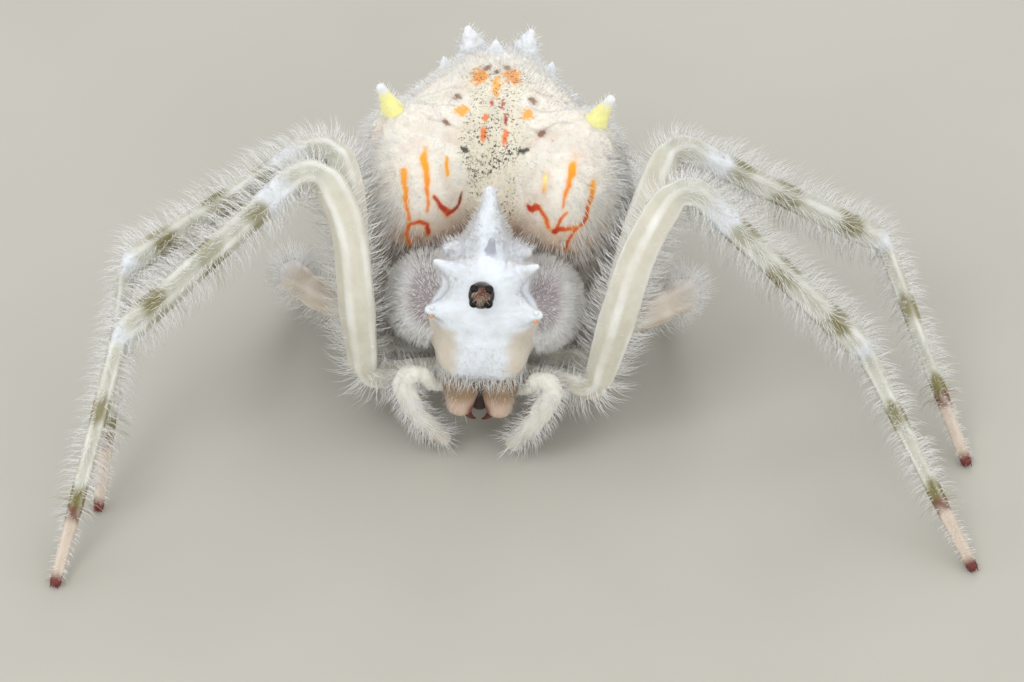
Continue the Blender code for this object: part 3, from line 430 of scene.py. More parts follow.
def frames_along(line):
    """Tangent and two directions across the line at each point, carried along without twisting."""
    tangents = units(np.gradient(line, axis=0))
    across = np.cross(tangents[0], (0.0, 0.0, 1.0))
    if np.linalg.norm(across) < 0.1:
        across = np.cross(tangents[0], (0.0, 1.0, 0.0))
    across = unit(across)
    rows = []
    for tangent in tangents:
        across = unit(across - tangent * (across @ tangent))
        rows.append((tangent, across, np.cross(tangent, across)))
    return np.array(rows)


def ring_faces(rings, sides):
    """The faces between rings of points."""
    faces = []
    for k in range(rings - 1):
        for j in range(sides):
            a, b = k * sides + j, k * sides + (j + 1) % sides
            faces.append((a, a + sides, b + sides, b))
    return faces


class Shapes:
    """Closed surfaces gathered into one mesh. Marks tell the kind, limb, length along and turn of points."""

    def __init__(self):
        self.points, self.faces, self.marks = [], [], []

    def add(self, points, faces, kind, limb=-1, places=None):
        """Adds a closed surface. Places tell each point's length along and turn."""
        start = len(self.points)
        self.points.extend(points)
        self.faces.extend([[start + i for i in face] for face in faces])
        self.marks.extend([(kind, limb, *place) for place in places or [(0.0, 0.0)] * len(points)])

    def tube(self, line, radii, kind, sides=LIMB_SIDES, limb=-1, along=None, rounding=4, ridge=0.0):
        """A closed tube round a line, with rounded ends and low ridges along it."""
        line = np.asarray(line, float)
        frames = frames_along(line)
        along = np.zeros(len(line)) if along is None else along
        rows = [(line[k], radii[k], k) for k in range(len(line))]
        for end, way in ((0, -1), (-1, 1)):
            for k in range(1, rounding + 1):
                a = k / (rounding + 0.5) * math.pi / 2
                centre = line[end] + way * frames[end][0] * radii[end] * math.sin(a) * 0.8
                rows.insert(0 if way < 0 else len(rows), (centre, radii[end] * math.cos(a), end))
        points, places = [], []
        for centre, size, at in rows:
            _, across, up = frames[at]
            for a in 2 * math.pi * np.arange(sides) / sides:
                reach = size * (1 + ridge * math.cos(a * RIDGES))
                points.append(centre + reach * (math.cos(a) * across + math.sin(a) * up))
                places.append((along[at], a))
        first, last = range(sides), range((len(rows) - 1) * sides, len(rows) * sides)
        faces = [*ring_faces(len(rows), sides), tuple(first), tuple(reversed(last))]
        self.add(points, faces, kind, limb, places)

    def horn(self, root, tip, root_radius, tip_radius, bow, kind, sides=20, ripple=0.0, hollow=1.3):
        """A horn with hollow sides, a round tip, a slight upward bow and ring folds."""
        root, tip = np.array(root, float), np.array(tip, float)
        steps = np.linspace(0, 1, 24)
        lift = np.array((0.0, 0.0, 1.0)) * bow
        line = np.array([root + (tip - root) * t * 0.97 + lift * 4 * t * (1 - t) for t in steps])
        radii = tip_radius + (root_radius - tip_radius) * (1 - steps) ** hollow
        self.tube(line, radii * (1 + ripple * np.sin(steps * RIPPLES * 2 * math.pi)), kind, sides)

    def melted(self, centre, balls, blend, detail, kind, shaping=lambda points: points):
        """A body round a centre, drawn out to the melted surface and then shaped."""
        bm = bmesh.new()
        bmesh.ops.create_icosphere(bm, subdivisions=detail, radius=1.0)
        directions = np.array([v.co[:] for v in bm.verts])
        faces = [[v.index for v in face.verts] for face in bm.faces]
        bm.free()
        self.add(shaping(melted_surface(centre, directions, balls, blend)), faces, kind)


def pinch(where, place, depth, width):
    """How much a joint narrows a limb near a place."""
    return 1.0 - depth * np.exp(-((where - place) / width) ** 2)


def patella_length(number):
    """How long the patella is on a leg."""
    return PATELLA_LENGTH * (1.0 if number < 3 else 0.6)


class Limb:
    """A leg or palp: its name, line, radii and where its joints lie along it. A palp has the number 0."""

    def __init__(self, name, joints, bends, number=0):
        self.name, self.number = name, number
        self.line = filleted(joints, bends)
        self.frames = frames_along(self.line)
        steps = np.linalg.norm(np.diff(self.line, axis=0), axis=1)
        self.along = np.concatenate([[0.0], np.cumsum(steps)])

    def nearest(self, target):
        """How far along the limb it comes nearest to a point."""
        fine = np.linspace(0, self.along[-1], 1500)
        points = np.stack([np.interp(fine, self.along, self.line[:, axis]) for axis in range(3)], axis=1)
        return fine[np.argmin(np.linalg.norm(points - np.array(target), axis=1))]


def make_leg(number, side):
    """A leg from the sternum to the foot, narrower at each joint."""
    femur_root, bow_low, bow_high, knee, ankle, foot = (np.array(p) for p in LEG_JOINTS[number, side])
    angle = math.radians(COXA_ANGLE[number])
    ring = mirrored((math.sin(angle) * STERNUM_RADII[0], -math.cos(angle) * STERNUM_RADII[1], 0.0), side)
    hub = np.array((STERNUM_CENTRE[0], STERNUM_CENTRE[1], COXA_HEIGHT)) + ring * 0.8
    leg = Limb(f"leg_{number}_{side}", (hub, femur_root, bow_low, bow_high, knee, ankle, foot),
               (LEG_BEND, FEMUR_BEND, FEMUR_BEND, KNEE_BEND, LEG_BEND), number)
    femur_at, knee_at, ankle_at = (leg.nearest(p) for p in (femur_root, knee, ankle))
    end = leg.along[-1]
    wrist_at = end - (end - ankle_at) * TARSUS_SHARE
    leg.joints = (femur_at, knee_at, ankle_at, wrist_at)
    coxa, femur, knee_radius, tibia, ankle_radius, metatarsus, tip = LEG_RADII[number]
    stops = (0.0, femur_at, femur_at + (knee_at - femur_at) * 0.35, knee_at - 0.9, knee_at,
             (knee_at + ankle_at) / 2, ankle_at - 0.5, ankle_at, ankle_at + 0.8, wrist_at, end)
    sizes = (coxa * 0.72, coxa, femur, (femur + knee_radius) / 2, knee_radius, tibia,
             tibia * 1.12, ankle_radius * 1.05, (ankle_radius + metatarsus) / 2, metatarsus, tip)
    leg.radii = np.interp(leg.along, stops, sizes)
    for place, depth, width in (
        (femur_at + 0.25, 0.12, 0.16),
        (knee_at - 0.25, 0.16, 0.16),
        (knee_at + patella_length(number), 0.12, 0.14),
        (ankle_at + 0.14, 0.28, 0.16),
        (wrist_at, 0.10, 0.1),
    ):
        leg.radii *= pinch(leg.along, place, depth, width)
    return leg


def make_palp(side):
    """A palp from the mouth to its tip, narrower at each joint."""
    joints = np.array(PALP_JOINTS[side])
    palp = Limb(f"palp_{side}", [mirrored(PALP_ROOT, side), *joints], [PALP_BEND] * 4)
    palp.joints = [palp.nearest(joint) for joint in joints]
    palp.radii = np.interp(palp.along, palp.joints, PALP_RADII)
    for corner in palp.joints[:4]:
        palp.radii *= pinch(palp.along, corner, 0.2, 0.12)
    return palp


# All legs, from the first pair back, and then the palps.
LIMBS = [make_leg(number, side) for number in COXA_ANGLE for side in SIDES]
LIMBS += [make_palp(side) for side in SIDES]


def gather_shapes():
    """All that the skin covers, as closed surfaces that overlap."""
    shapes = Shapes()

    def carapace_shape(points):
        """Dented, and flat below."""
        points = pressed(points, head_dents())
        points[:, 2] = np.maximum(points[:, 2], CARAPACE_FLOOR)
        return points

    def abdomen_shape(points):
        """Dented and pleated."""
        return pleated(pressed(points, ABDOMEN_DENTS))

    carapace = [*HEAD_BALLS, THORAX_BALL, *both_sides([*HEAD_CORNERS, THORAX_LOBE])]
    abdomen = [*ABDOMEN_BALLS, *both_sides(ABDOMEN_LOBES)]
    shapes.melted(CARAPACE_CENTRE, carapace, CARAPACE_BLEND, SKIN_DETAIL, CARAPACE, carapace_shape)
    for horn, kind in zip(MEDIAN_HORNS, (HORN, SPIKE)):
        shapes.horn(*horn, kind)
    for side in SIDES:
        for root, tip, *sizes in PAIRED_HORNS:
            shapes.horn(mirrored(root, side), mirrored(tip, side), *sizes, HORN)
    shapes.melted(ABDOMEN_CENTRE, abdomen, ABDOMEN_BLEND, SKIN_DETAIL, ABDOMEN, abdomen_shape)
    tubercles = list(MEDIAN_TUBERCLES)
    for side in SIDES:
        tubercles += [(mirrored(direction, side), mirrored(lean, side), *sizes)
                      for direction, lean, *sizes in PAIRED_TUBERCLES]
    for direction, lean, radius, height in tubercles:
        base = melted_surface(ABDOMEN_CENTRE, [direction], abdomen, ABDOMEN_BLEND)[0]
        lean = unit(lean)
        root, tip = base - lean * 0.35, base + lean * height
        shapes.horn(root, tip, radius, radius * 0.2, 0.0, TUBERCLE, 20, RIPPLE, 1.0)
    shapes.melted(STERNUM_CENTRE, [(STERNUM_CENTRE, STERNUM_RADII)], 0.05, 4, BELLY)
    shapes.melted(LIP[0], [LIP], 0.05, 3, BELLY)
    front, back, radius = PEDICEL
    shapes.tube(np.linspace(front, back, 8), np.full(8, radius), BELLY)
    add_spinnerets(shapes)
    for index, limb in enumerate(LIMBS):
        kind, ridge = (LEG, RIDGE_HEIGHT) if limb.number else (PALP, 0.0)
        shapes.tube(limb.line, limb.radii, kind, LIMB_SIDES, index, limb.along, ridge=ridge)
    return shapes


def add_spinnerets(shapes):
    """Three pairs of short spinning tubes on one low stump."""
    root, down = np.array(SPINNERET_ROOT), unit(SPINNERET_WAY)
    shapes.tube(np.linspace(root - down * 0.6, root + down * 0.5, 5), np.linspace(0.6, 0.48, 5), BELLY)
    for along, spread, size in ((-0.25, 0.2, 1.0), (0.0, 0.12, 0.75), (0.24, 0.2, 1.0)):
        for side in SIDES:
            start = root + down * 0.3 + np.array((SIGN[side] * spread, along, 0.0))
            end = start + unit(down + np.array((SIGN[side] * 0.15, along, 0.0))) * SPINNERET_LENGTH
            thick = SPINNERET_RADIUS * size
            shapes.horn(start, end, thick, thick * 0.4, 0.0, BELLY, 12)


def in_frame(points):
    """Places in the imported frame, from places in millimetres of the body's own frame."""
    return (np.asarray(points, float) + SHIFT) * MM


def add_object(name, mesh, material, replaced=()):
    """An object that rides on the body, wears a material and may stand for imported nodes."""
    mesh.materials.clear()
    mesh.materials.append(material)
    obj = bpy.data.objects.new(name, mesh)
    bpy.context.scene.collection.objects.link(obj)
    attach(obj, "root")
    if replaced:
        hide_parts(*replaced)


def set_markings(mesh, colours, speckle):
    """Stores colour and speckle on a mesh's points."""
    tint = mesh.color_attributes.new("tint", "FLOAT_COLOR", "POINT")
    tint.data.foreach_set("color", np.c_[colours, np.ones(len(colours))].astype(np.float32).ravel())
    dots = mesh.attributes.new("speckle", "FLOAT", "POINT")
    dots.data.foreach_set("value", speckle.astype(np.float32))


def add_piece(name, points, faces, material, slot, colours=None):
    """A closed piece with its faces outwards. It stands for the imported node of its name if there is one."""
    mesh = bpy.data.meshes.new(name)
    mesh.from_pydata([tuple(p) for p in in_frame(points)], [], faces)
    mesh.shade_smooth()
    bm = bmesh.new()
    bm.from_mesh(mesh)
    bmesh.ops.recalc_face_normals(bm, faces=bm.faces)
    bm.to_mesh(mesh)
    bm.free()
    if colours is not None:
        set_markings(mesh, colours, np.zeros(len(points)))
    add_object(name, mesh, material, [name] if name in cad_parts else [])


def skin_surface(shapes):
    """The one closed surface round all shapes, in millimetres."""
    mesh = bpy.data.meshes.new("raw_skin")
    mesh.from_pydata([tuple(p) for p in shapes.points], [], shapes.faces)
    bm = bmesh.new()
    bm.from_mesh(mesh)
    bmesh.ops.triangulate(bm, faces=bm.faces)
    bm.to_mesh(mesh)
    bm.free()
    obj = bpy.data.objects.new("raw_skin", mesh)
    bpy.context.scene.collection.objects.link(obj)
    remesh = obj.modifiers.new("remesh", "REMESH")
    remesh.mode = "VOXEL"
    remesh.voxel_size = VOXEL
    soften = obj.modifiers.new("soften", "SMOOTH")
    soften.factor = 0.5
    soften.iterations = SMOOTHING
    graph = bpy.context.evaluated_depsgraph_get()
    made = bpy.data.meshes.new_from_object(obj.evaluated_get(graph))
    bpy.data.objects.remove(obj)
    return made


def read(rows, name, width=3, kind=float):
    """A value of all of a mesh's points, edges or triangles, one row each."""
    values = np.empty(len(rows) * width, kind)
    rows.foreach_get(name, values)
    return values.reshape(-1, width)


def melt_roots(points, mesh, kind):
    """Smooths the carapace and the crown of the abdomen where horns rise from them, and spares the tips."""
    tips = [horn[1] for horn in MEDIAN_HORNS]
    tips += [mirrored(horn[1], side) for side in SIDES for horn in PAIRED_HORNS]
    near = np.min([np.linalg.norm(points - np.array(tip), axis=1) for tip in tips], axis=0)
    amount = np.isin(kind, (CARAPACE, HORN)) * ramp(near, 0.22, 0.7)
    amount = np.maximum(amount, 0.15 * (kind == TUBERCLE))[:, None]
    a, b = read(mesh.edges, "vertices", 2, np.int32).T
    count = np.bincount(np.r_[a, b], minlength=len(points))[:, None]
    for _ in range(MELT_ROUNDS):
        around = [np.bincount(a, column[b], len(points)) + np.bincount(b, column[a], len(points))
                  for column in points.T]
        points = points + (np.stack(around, axis=1) / count - points) * 0.5 * amount
    return points


class Skin:
    """The skin's points, normals and triangles, the marks of each point, and the way along its limb."""

    def __init__(self, mesh, shapes):
        self.points = read(mesh.vertices, "co")
        self.points[:, 2] = np.maximum(self.points[:, 2], -SHIFT[2])
        mesh.calc_loop_triangles()
        self.triangles = read(mesh.loop_triangles, "vertices", 3, np.int32)
        tree = kdtree.KDTree(len(shapes.points))
        for index, point in enumerate(shapes.points):
            tree.insert(point, index)
        tree.balance()
        nearest = [tree.find(point)[1] for point in self.points]
        self.marks = np.array(shapes.marks)[nearest]
        self.kind, self.limb, self.along, self.turn = self.marks.T
        self.points = melt_roots(self.points, mesh, self.kind)
        mesh.vertices.foreach_set("co", self.points.ravel())
        mesh.update()
        self.normals = read(mesh.vertices, "normal")
        self.lie = np.zeros_like(self.points)
        for index, limb in enumerate(LIMBS):
            mine = self.limb == index
            ring = np.clip(np.searchsorted(limb.along, self.along[mine]), 0, len(limb.along) - 1)
            tangent, aside, over = limb.frames[ring].transpose(1, 0, 2)
            out = self.points[mine] - limb.line[ring]
            offset = np.clip((out * tangent).sum(axis=1), -0.2, 0.2)
            self.along[mine] = np.clip(limb.along[ring] + offset, 0, limb.along[-1])
            self.turn[mine] = np.arctan2((out * over).sum(axis=1), (out * aside).sum(axis=1)) % (2 * math.pi)
            self.lie[mine] = tangent


class Patch:
    """The surface of a separate piece, told as the skin tells its own."""

    def __init__(self, mesh, kind):
        self.points = read(mesh.vertices, "co") / MM - SHIFT
        self.normals = read(mesh.vertices, "normal")
        mesh.calc_loop_triangles()
        self.triangles = read(mesh.loop_triangles, "vertices", 3, np.int32)
        self.marks = np.tile((kind, -1.0, 0.0, 0.0), (len(self.points), 1))


def stroke_distance(places, stroke):
    """How far each place in a plane lies from a line of points, and how far along the line it is."""
    stroke = np.array(stroke, float)
    best = np.full(len(places), 9.0)
    share = np.zeros(len(places))
    for k, (start, end) in enumerate(zip(stroke, stroke[1:])):
        step = end - start
        t = np.clip((places - start) @ step / (step @ step), 0, 1)
        distance = np.linalg.norm(places - start - t[:, None] * step, axis=1)
        nearer = distance < best
        best = np.where(nearer, distance, best)
        share = np.where(nearer, (k + t) / (len(stroke) - 1), share)
    return best, share


# Strokes on the front of the abdomen, seen from the front: points as (x, z), width at the two ends,
# and the colours at the two ends.
FRONT_STROKES = (
    (((-2.82, 7.85), (-2.77, 7.4), (-2.68, 6.95), (-2.6, 6.45)), (0.13, 0.06), YELLOW_ORANGE, ORANGE),
    (((-2.2, 8.1), (-2.1, 7.75), (-2.03, 7.35), (-2.0, 6.75)), (0.14, 0.04), YELLOW_ORANGE, ORANGE),
    (((-1.47, 7.78), (-1.42, 7.56)), (0.08, 0.05), YELLOW_ORANGE, YELLOW_ORANGE),
    (((-2.5, 5.45), (-2.68, 5.9), (-2.56, 6.3), (-2.3, 6.42), (-2.02, 6.25), (-1.93, 5.9)), (0.06, 0.09),
     ORANGE, RED),
    (((-1.82, 7.15), (-1.58, 6.76), (-1.32, 6.44)), (0.06, 0.11), RED, RED),
    (((-1.32, 6.44), (-1.05, 6.54), (-0.93, 6.8)), (0.1, 0.05), RED, BLACKISH),
    (((2.66, 8.1), (2.54, 7.9), (2.47, 7.6), (2.35, 7.15)), (0.15, 0.04), YELLOW_ORANGE, ORANGE),
    (((3.32, 7.7), (3.26, 7.4), (3.18, 7.05), (3.05, 6.6)), (0.12, 0.07), YELLOW_ORANGE, RED),
    (((1.78, 7.76), (1.7, 7.45)), (0.07, 0.04), KNOB_YELLOW, YELLOW_ORANGE),
    (((1.3, 6.74), (1.6, 6.92), (1.8, 6.7), (1.95, 6.4)), (0.13, 0.08), RED, ORANGE),
    (((2.49, 7.0), (2.3, 6.67), (2.16, 6.35)), (0.05, 0.06), ORANGE, RED),
    (((2.16, 6.3), (2.4, 6.42), (2.8, 6.5)), (0.13, 0.08), RED, ORANGE),
    (((3.0, 6.55), (2.74, 6.35), (2.5, 5.6)), (0.06, 0.05), ORANGE, RED),
)
# Spots along the top of the abdomen, seen from above: place as (x, y), size as (along x, along y), colour.
TOP_SPOTS = (
    ((-0.56, 6.35), (0.3, 0.5), AMBER),
    ((0.5, 6.42), (0.32, 0.5), AMBER),
    ((-0.32, 6.8), (0.14, 0.16), DEEP_BROWN),
    ((0.3, 6.85), (0.14, 0.16), DEEP_BROWN),
    ((-0.02, 6.6), (0.1, 0.12), DEEP_BROWN),
    ((0.0, 5.8), (0.15, 0.55), YELLOW_ORANGE),
    ((-0.12, 5.0), (0.05, 0.22), RED),
    ((0.24, 4.95), (0.05, 0.26), RED),
    ((-1.1, 4.65), (0.26, 0.24), YELLOW_ORANGE),
    ((1.08, 4.65), (0.2, 0.28), YELLOW_ORANGE),
    ((-0.34, 3.8), (0.12, 0.28), ORANGE),
    ((0.38, 3.75), (0.1, 0.28), ORANGE),
    ((-0.3, 4.35), (0.1, 0.16), ORANGE),
    ((0.36, 4.35), (0.07, 0.24), RED),
    ((-1.26, 5.35), (0.13, 0.16), DEEP_BROWN),
    ((1.22, 5.35), (0.14, 0.18), DEEP_BROWN),
    ((-1.6, 4.05), (0.12, 0.12), DEEP_BROWN),
    ((1.56, 3.8), (0.16, 0.15), DEEP_BROWN),
    ((-0.95, 3.2), (0.16, 0.1), BLACKISH),
    ((1.0, 3.25), (0.2, 0.1), BLACKISH),
)
# Folds of the top, painted as grey lines of shade: where each starts on the middle line, and how far back it
# goes for its way outwards.
TOP_FOLDS = ((5.75, 0.1), (4.85, 0.05), (4.05, -0.05))
# The strokes lie in front of this place, the spots above this height, and the flecks are densest
# along a line across the groove.
FRONT_REACH, TOP_HEIGHT, DARK_LINE = 2.6, 6.5, 3.1
STROKE_HALO, STROKE_EDGE = 0.14, 0.03


def abdomen_colours(points):
    """The abdomen's colours, and how speckled each place is. Dark brown low on the front and behind the head
    is painted shadow, and grey along the folds and round the pits is painted shade.
    """
    x, y, z = points.T
    blotch = np.sin(x * 2.3 + 1.0) * np.sin(y * 2.9 + 0.5) + 0.5 * np.sin(x * 5.1 + z * 4.3) * np.sin(y * 6.0)
    cloudy = np.sin(x * 6 + z * 3) * np.sin(z * 8 - x * 4) + np.sin(x * 13 + z * 11) * 0.5
    front = ramp(-y, -3.4, -2.0)
    width = 1.25 + 0.25 * np.sin(y * 2.2)
    groove = ramp(-np.abs(x), -width, -width * 0.55) * ramp(-y, -7.4, -6.6) * ramp(z, 5.0, 6.0)
    off = [np.abs(y - start - slope * np.abs(x) - 0.06 * np.sin(x * 7)) for start, slope in TOP_FOLDS]
    reach = ramp(np.abs(x), 0.9, 1.3) * ramp(-np.abs(x), -3.0, -2.2) * ramp(z, 7.0, 7.6)
    # The middle of the front face, low down behind the head, where painted shadow goes.
    between = ramp(-np.abs(x), -1.5, -0.9) * ramp(-z, -6.6, -5.6) * front
    colours = painted(
        CREAM, len(points),
        (BLUSH, 0.4 * ramp(blotch, 0.1, 1.0)),
        (LOW_BEIGE, 0.9 * front * ramp(-z, -7.1, -5.5)),
        # Painted shadow low on the front of the abdomen, near the head.
        (DEEP_BROWN, 0.8 * front * ramp(-z, -5.7, -4.7)),
        (LOW_BEIGE, 0.8 * ramp(-z, -4.2, -3.0)),
        (DEEP_BROWN, 0.4 * front * ramp(-z, -6.6, -5.6) * ramp(cloudy, 0.0, 0.9)),
        (GROOVE, 0.7 * groove),
        # Painted shade along the folds.
        *((FOLD_AND_PIT_SHADE, 0.45 * reach * ramp(-fold, -0.09, -0.02)) for fold in off),
        # Painted shadow behind the head.
        (DEEP_BROWN, 0.75 * between),
    )
    on_front = y < FRONT_REACH
    swayed = points[:, (0, 2)] + 0.02 * np.stack([np.sin(z * 9 + x * 4), np.sin(x * 10 + z * 3)], axis=1)
    uneven = 0.8 + 0.14 * np.sin(z * 21 + x * 13)
    for stroke, (start, end), first, last in FRONT_STROKES:
        distance, share = stroke_distance(swayed, stroke)
        size = (start + (end - start) * share) * uneven
        colours = mix(colours, YELLOW_ORANGE, 0.25 * ramp(-distance, -size - STROKE_HALO, -size) * on_front)
        cover = ramp(-distance, -size - STROKE_EDGE, -size + STROKE_EDGE) * on_front
        colours = colours + (mix(linear(first), last, share) - colours) * cover[:, None]
    on_top = z > TOP_HEIGHT
    for (cx, cy), (wide, long), ink in TOP_SPOTS:
        wobble = 0.25 * np.sin(x * 17 + cy * 5) * np.cos(y * 13 + cx * 7) + 0.2 * np.sin(x * 31 + y * 27 + cx)
        distance = np.hypot((x - cx) / wide, (y - cy) / long) + wobble
        # A brown pit gets a wider ring of painted shade round it.
        if ink == DEEP_BROWN:
            colours = mix(colours, FOLD_AND_PIT_SHADE, 0.5 * ramp(-distance, -2.1, -0.9) * on_top)
        colours = mix(colours, ink, 0.9 * ramp(-distance, -1.15, -0.7) * on_top)
    dense = 0.9 * ramp(-np.abs(y - DARK_LINE - 0.2 * np.sin(x * 3)), -0.5, -0.1)
    return colours, groove * (0.85 + dense)


def carapace_colours(points):
    """The carapace's colours: snow white in the middle, greyer on the side lobes, beige at the cheeks."""
    x, y, z = points.T
    side = lobe_share(points)
    patch = np.hypot((np.abs(x) - 1.9) / 0.75, (z - 5.2) / 0.95)
    cheek = ramp(np.abs(x) + 0.05 * np.sin(z * 9), 0.58, 1.1) * ramp(-z, -5.1, -4.75) * ramp(-y, 1.2, 1.8)
    colours = painted(
        SNOW, len(points),
        (LOBE_WHITE, side),
        (LOBE_GREY, side * ramp(-patch, -1.1, -0.5)),
        (FACE_BEIGE, 0.9 * (cheek * (1 - side))),
        (LOW_BEIGE, 0.6 * ramp(-z, -3.2, -3.0)),
        (LOW_BEIGE, 0.5 * ramp(y, 0.6, 1.6)),
    )
    return colours, 0.0


# Bands of the tibia and the metatarsus: how far each sways, how even it is and how uneven, then for each band
# how far it lies from joint to joint, its half width as the same share, and its strength.
TIBIA_BANDS = (0.012, 0.75, 0.3, ((0.29, 0.045, 0.75), (0.53, 0.055, 0.95), (0.82, 0.05, 0.9)))
METATARSUS_BANDS = (0.015, 1.0, 0.0, ((0.31, 0.05, 0.8), (0.67, 0.05, 1.0)))


def leg_colours(limb, along, turn):
    """A leg's colours: waxy at the femur, then white with olive bands, pink at the tarsus, with painted
    highlights along the ridges and white at the joints that is partly their own and partly painted highlight.
    """
    _, knee_at, ankle_at, wrist_at = limb.joints
    end = limb.along[-1]
    # Painted highlights along the crests of the ridges; the olive bands fade under them.
    ridge_highlight = ramp(np.cos(turn * RIDGES), -0.2, 1.0) * (0.45 + 0.2 * np.sin(along * 2.1 + turn * 3))
    # White at the patella's end and at the ankle: partly the joints' own white, partly painted highlight.
    joint = np.maximum(ramp(-np.abs(along - knee_at - patella_length(limb.number)), -0.9, -0.2),
                       ramp(-np.abs(along - ankle_at), -0.5, -0.1))
    bands = []
    for start, stop, (sway, even, uneven, rows) in ((knee_at, ankle_at, TIBIA_BANDS),
                                                    (ankle_at, end, METATARSUS_BANDS)):
        onward = (along - start) / (stop - start)
        for place, half, strength in rows:
            near = np.abs(onward - place + sway * np.sin(turn * 3 + place * 20)) / half
            blotch = even + uneven * np.sin(turn * 2 + place * 9)
            bands.append((OLIVE, strength * ramp(-near, -1.6, -0.5) * blotch * (1 - 0.5 * ridge_highlight)))
    rust = ramp(-np.abs(along - wrist_at + 0.05), -0.4, -0.12) * (0.75 + 0.25 * np.sin(turn * 3 + along * 9))
    return painted(
        LEG_WHITE, len(along),
        (WAX, ramp(-along, -knee_at + 0.2, -knee_at + 1.2)),
        # Painted highlights along the ridges.
        (RIDGE_HIGHLIGHT, ridge_highlight),
        # White at the joints, partly painted highlight.
        (SNOW, 0.8 * joint),
        (PINKISH, 0.45 * (limb.number == 3) * ramp(-along, -ankle_at, -knee_at)),
        *bands,
        (TARSUS_BEIGE, 0.6 * ramp(along, wrist_at - 0.1, wrist_at + 0.2)),
        (DEEP_RUST, 0.85 * rust),
        (DEEP_RUST, 0.6 * ramp(along, end - 0.4, end - 0.15)),
        (CLARET, 0.95 * ramp(along, end - 0.2, end - 0.06)),
    )


def markings(points, marks):
    """Colour and speckle at places on the skin. Skin and coat both take theirs from here."""
    kind, limb, along, turn = marks.T
    x, y, z = points.T
    colours, speckle = painted(PINKISH, len(points)), np.zeros(len(points))
    for which, painter in ((HEAD_KINDS, carapace_colours), (ABDOMEN_KINDS, abdomen_colours)):
        mine = np.isin(kind, which)
        colours[mine], speckle[mine] = painter(points[mine])
    for mine, colour, share in (
        (np.isin(kind, (HORN, TUBERCLE)) & (z > 5.0), SNOW, 0.85),
        (kind == SPIKE, SPIKE_GREY, ramp(z, 6.95, 7.3)),
        ((kind == BELLY) & (y < -1.4) & (np.abs(x) < 0.6), MOUTH_DARK, 0.95),
    ):
        colours = mix(colours, colour, share * mine)
    for index, one in enumerate(LIMBS):
        mine = limb == index
        if one.number:
            colours[mine] = leg_colours(one, along[mine], turn[mine])
        else:
            tip = 0.7 * ramp(along[mine], one.joints[3], one.along[-1])
            colours[mine] = painted(PALP_WHITE, mine.sum(), (FACE_BEIGE, tip))
    return colours, speckle


def unwrap(points, marks):
    """Where places lie on an unwrap of the skin: limbs unrolled, bodies by longitude and height."""
    kind, limb, along, turn = marks.T
    places = np.zeros((len(points), 2))
    for which, centre in (((*HEAD_KINDS, BELLY), CARAPACE_CENTRE), (ABDOMEN_KINDS, ABDOMEN_CENTRE)):
        mine = np.isin(kind, which)
        out = units(points[mine] - np.array(centre))
        places[mine, 0] = np.arctan2(out[:, 1], out[:, 0]) / (2 * math.pi) + 0.5
        places[mine, 1] = out[:, 2] / 2 + 0.5
    for index, one in enumerate(LIMBS):
        mine = limb == index
        places[mine, 0] = along[mine] / one.along[-1]
        places[mine, 1] = turn[mine] / (2 * math.pi)
    return places


def wanted_area(surface, wanted):
    """The area of each triangle that hair is wanted on, doubled."""
    corners = surface.points[surface.triangles]
    area = np.linalg.norm(np.cross(corners[:, 1] - corners[:, 0], corners[:, 2] - corners[:, 0]), axis=1)
    return wanted[surface.triangles].mean(axis=1) * area


def scatter(surface, wanted, count):
    """Random places on a surface's wanted parts, evenly over their area. Gives triangles and shares."""
    chance = np.cumsum(wanted_area(surface, wanted))
    rows = np.searchsorted(chance, np.random.rand(count) * chance[-1])
    a, b = np.random.rand(2, count)
    flip = a + b > 1
    a, b = np.where(flip, 1 - a, a), np.where(flip, 1 - b, b)
    return surface.triangles[rows], np.stack([1 - a - b, a, b], axis=1)


def blended(values, corners, shares):
    """A value of a surface's points, at places between them."""
    return (values[corners] * shares[:, :, None]).sum(axis=1)


# Each hair is laid out on the unwrap at the place of its root, this wide.
UV_PATCH = 0.003
# How deep a hair's root is sunk, and how thin the hair is at its bend.
ROOT_DEPTH, BEND_TAPER = 0.04, 0.8
# A hair is shaded partly as the skin under it, so that a coat is as bright as the form that it covers, and
# a little as if it faced the sky, or the front and the sky, because light passes through it.
SKIN_SHARE = 0.6
SKY_PULL = np.array((0.0, -0.2, 0.5))
FRONT_PULL = np.array((0.0, -1.0, 0.8))


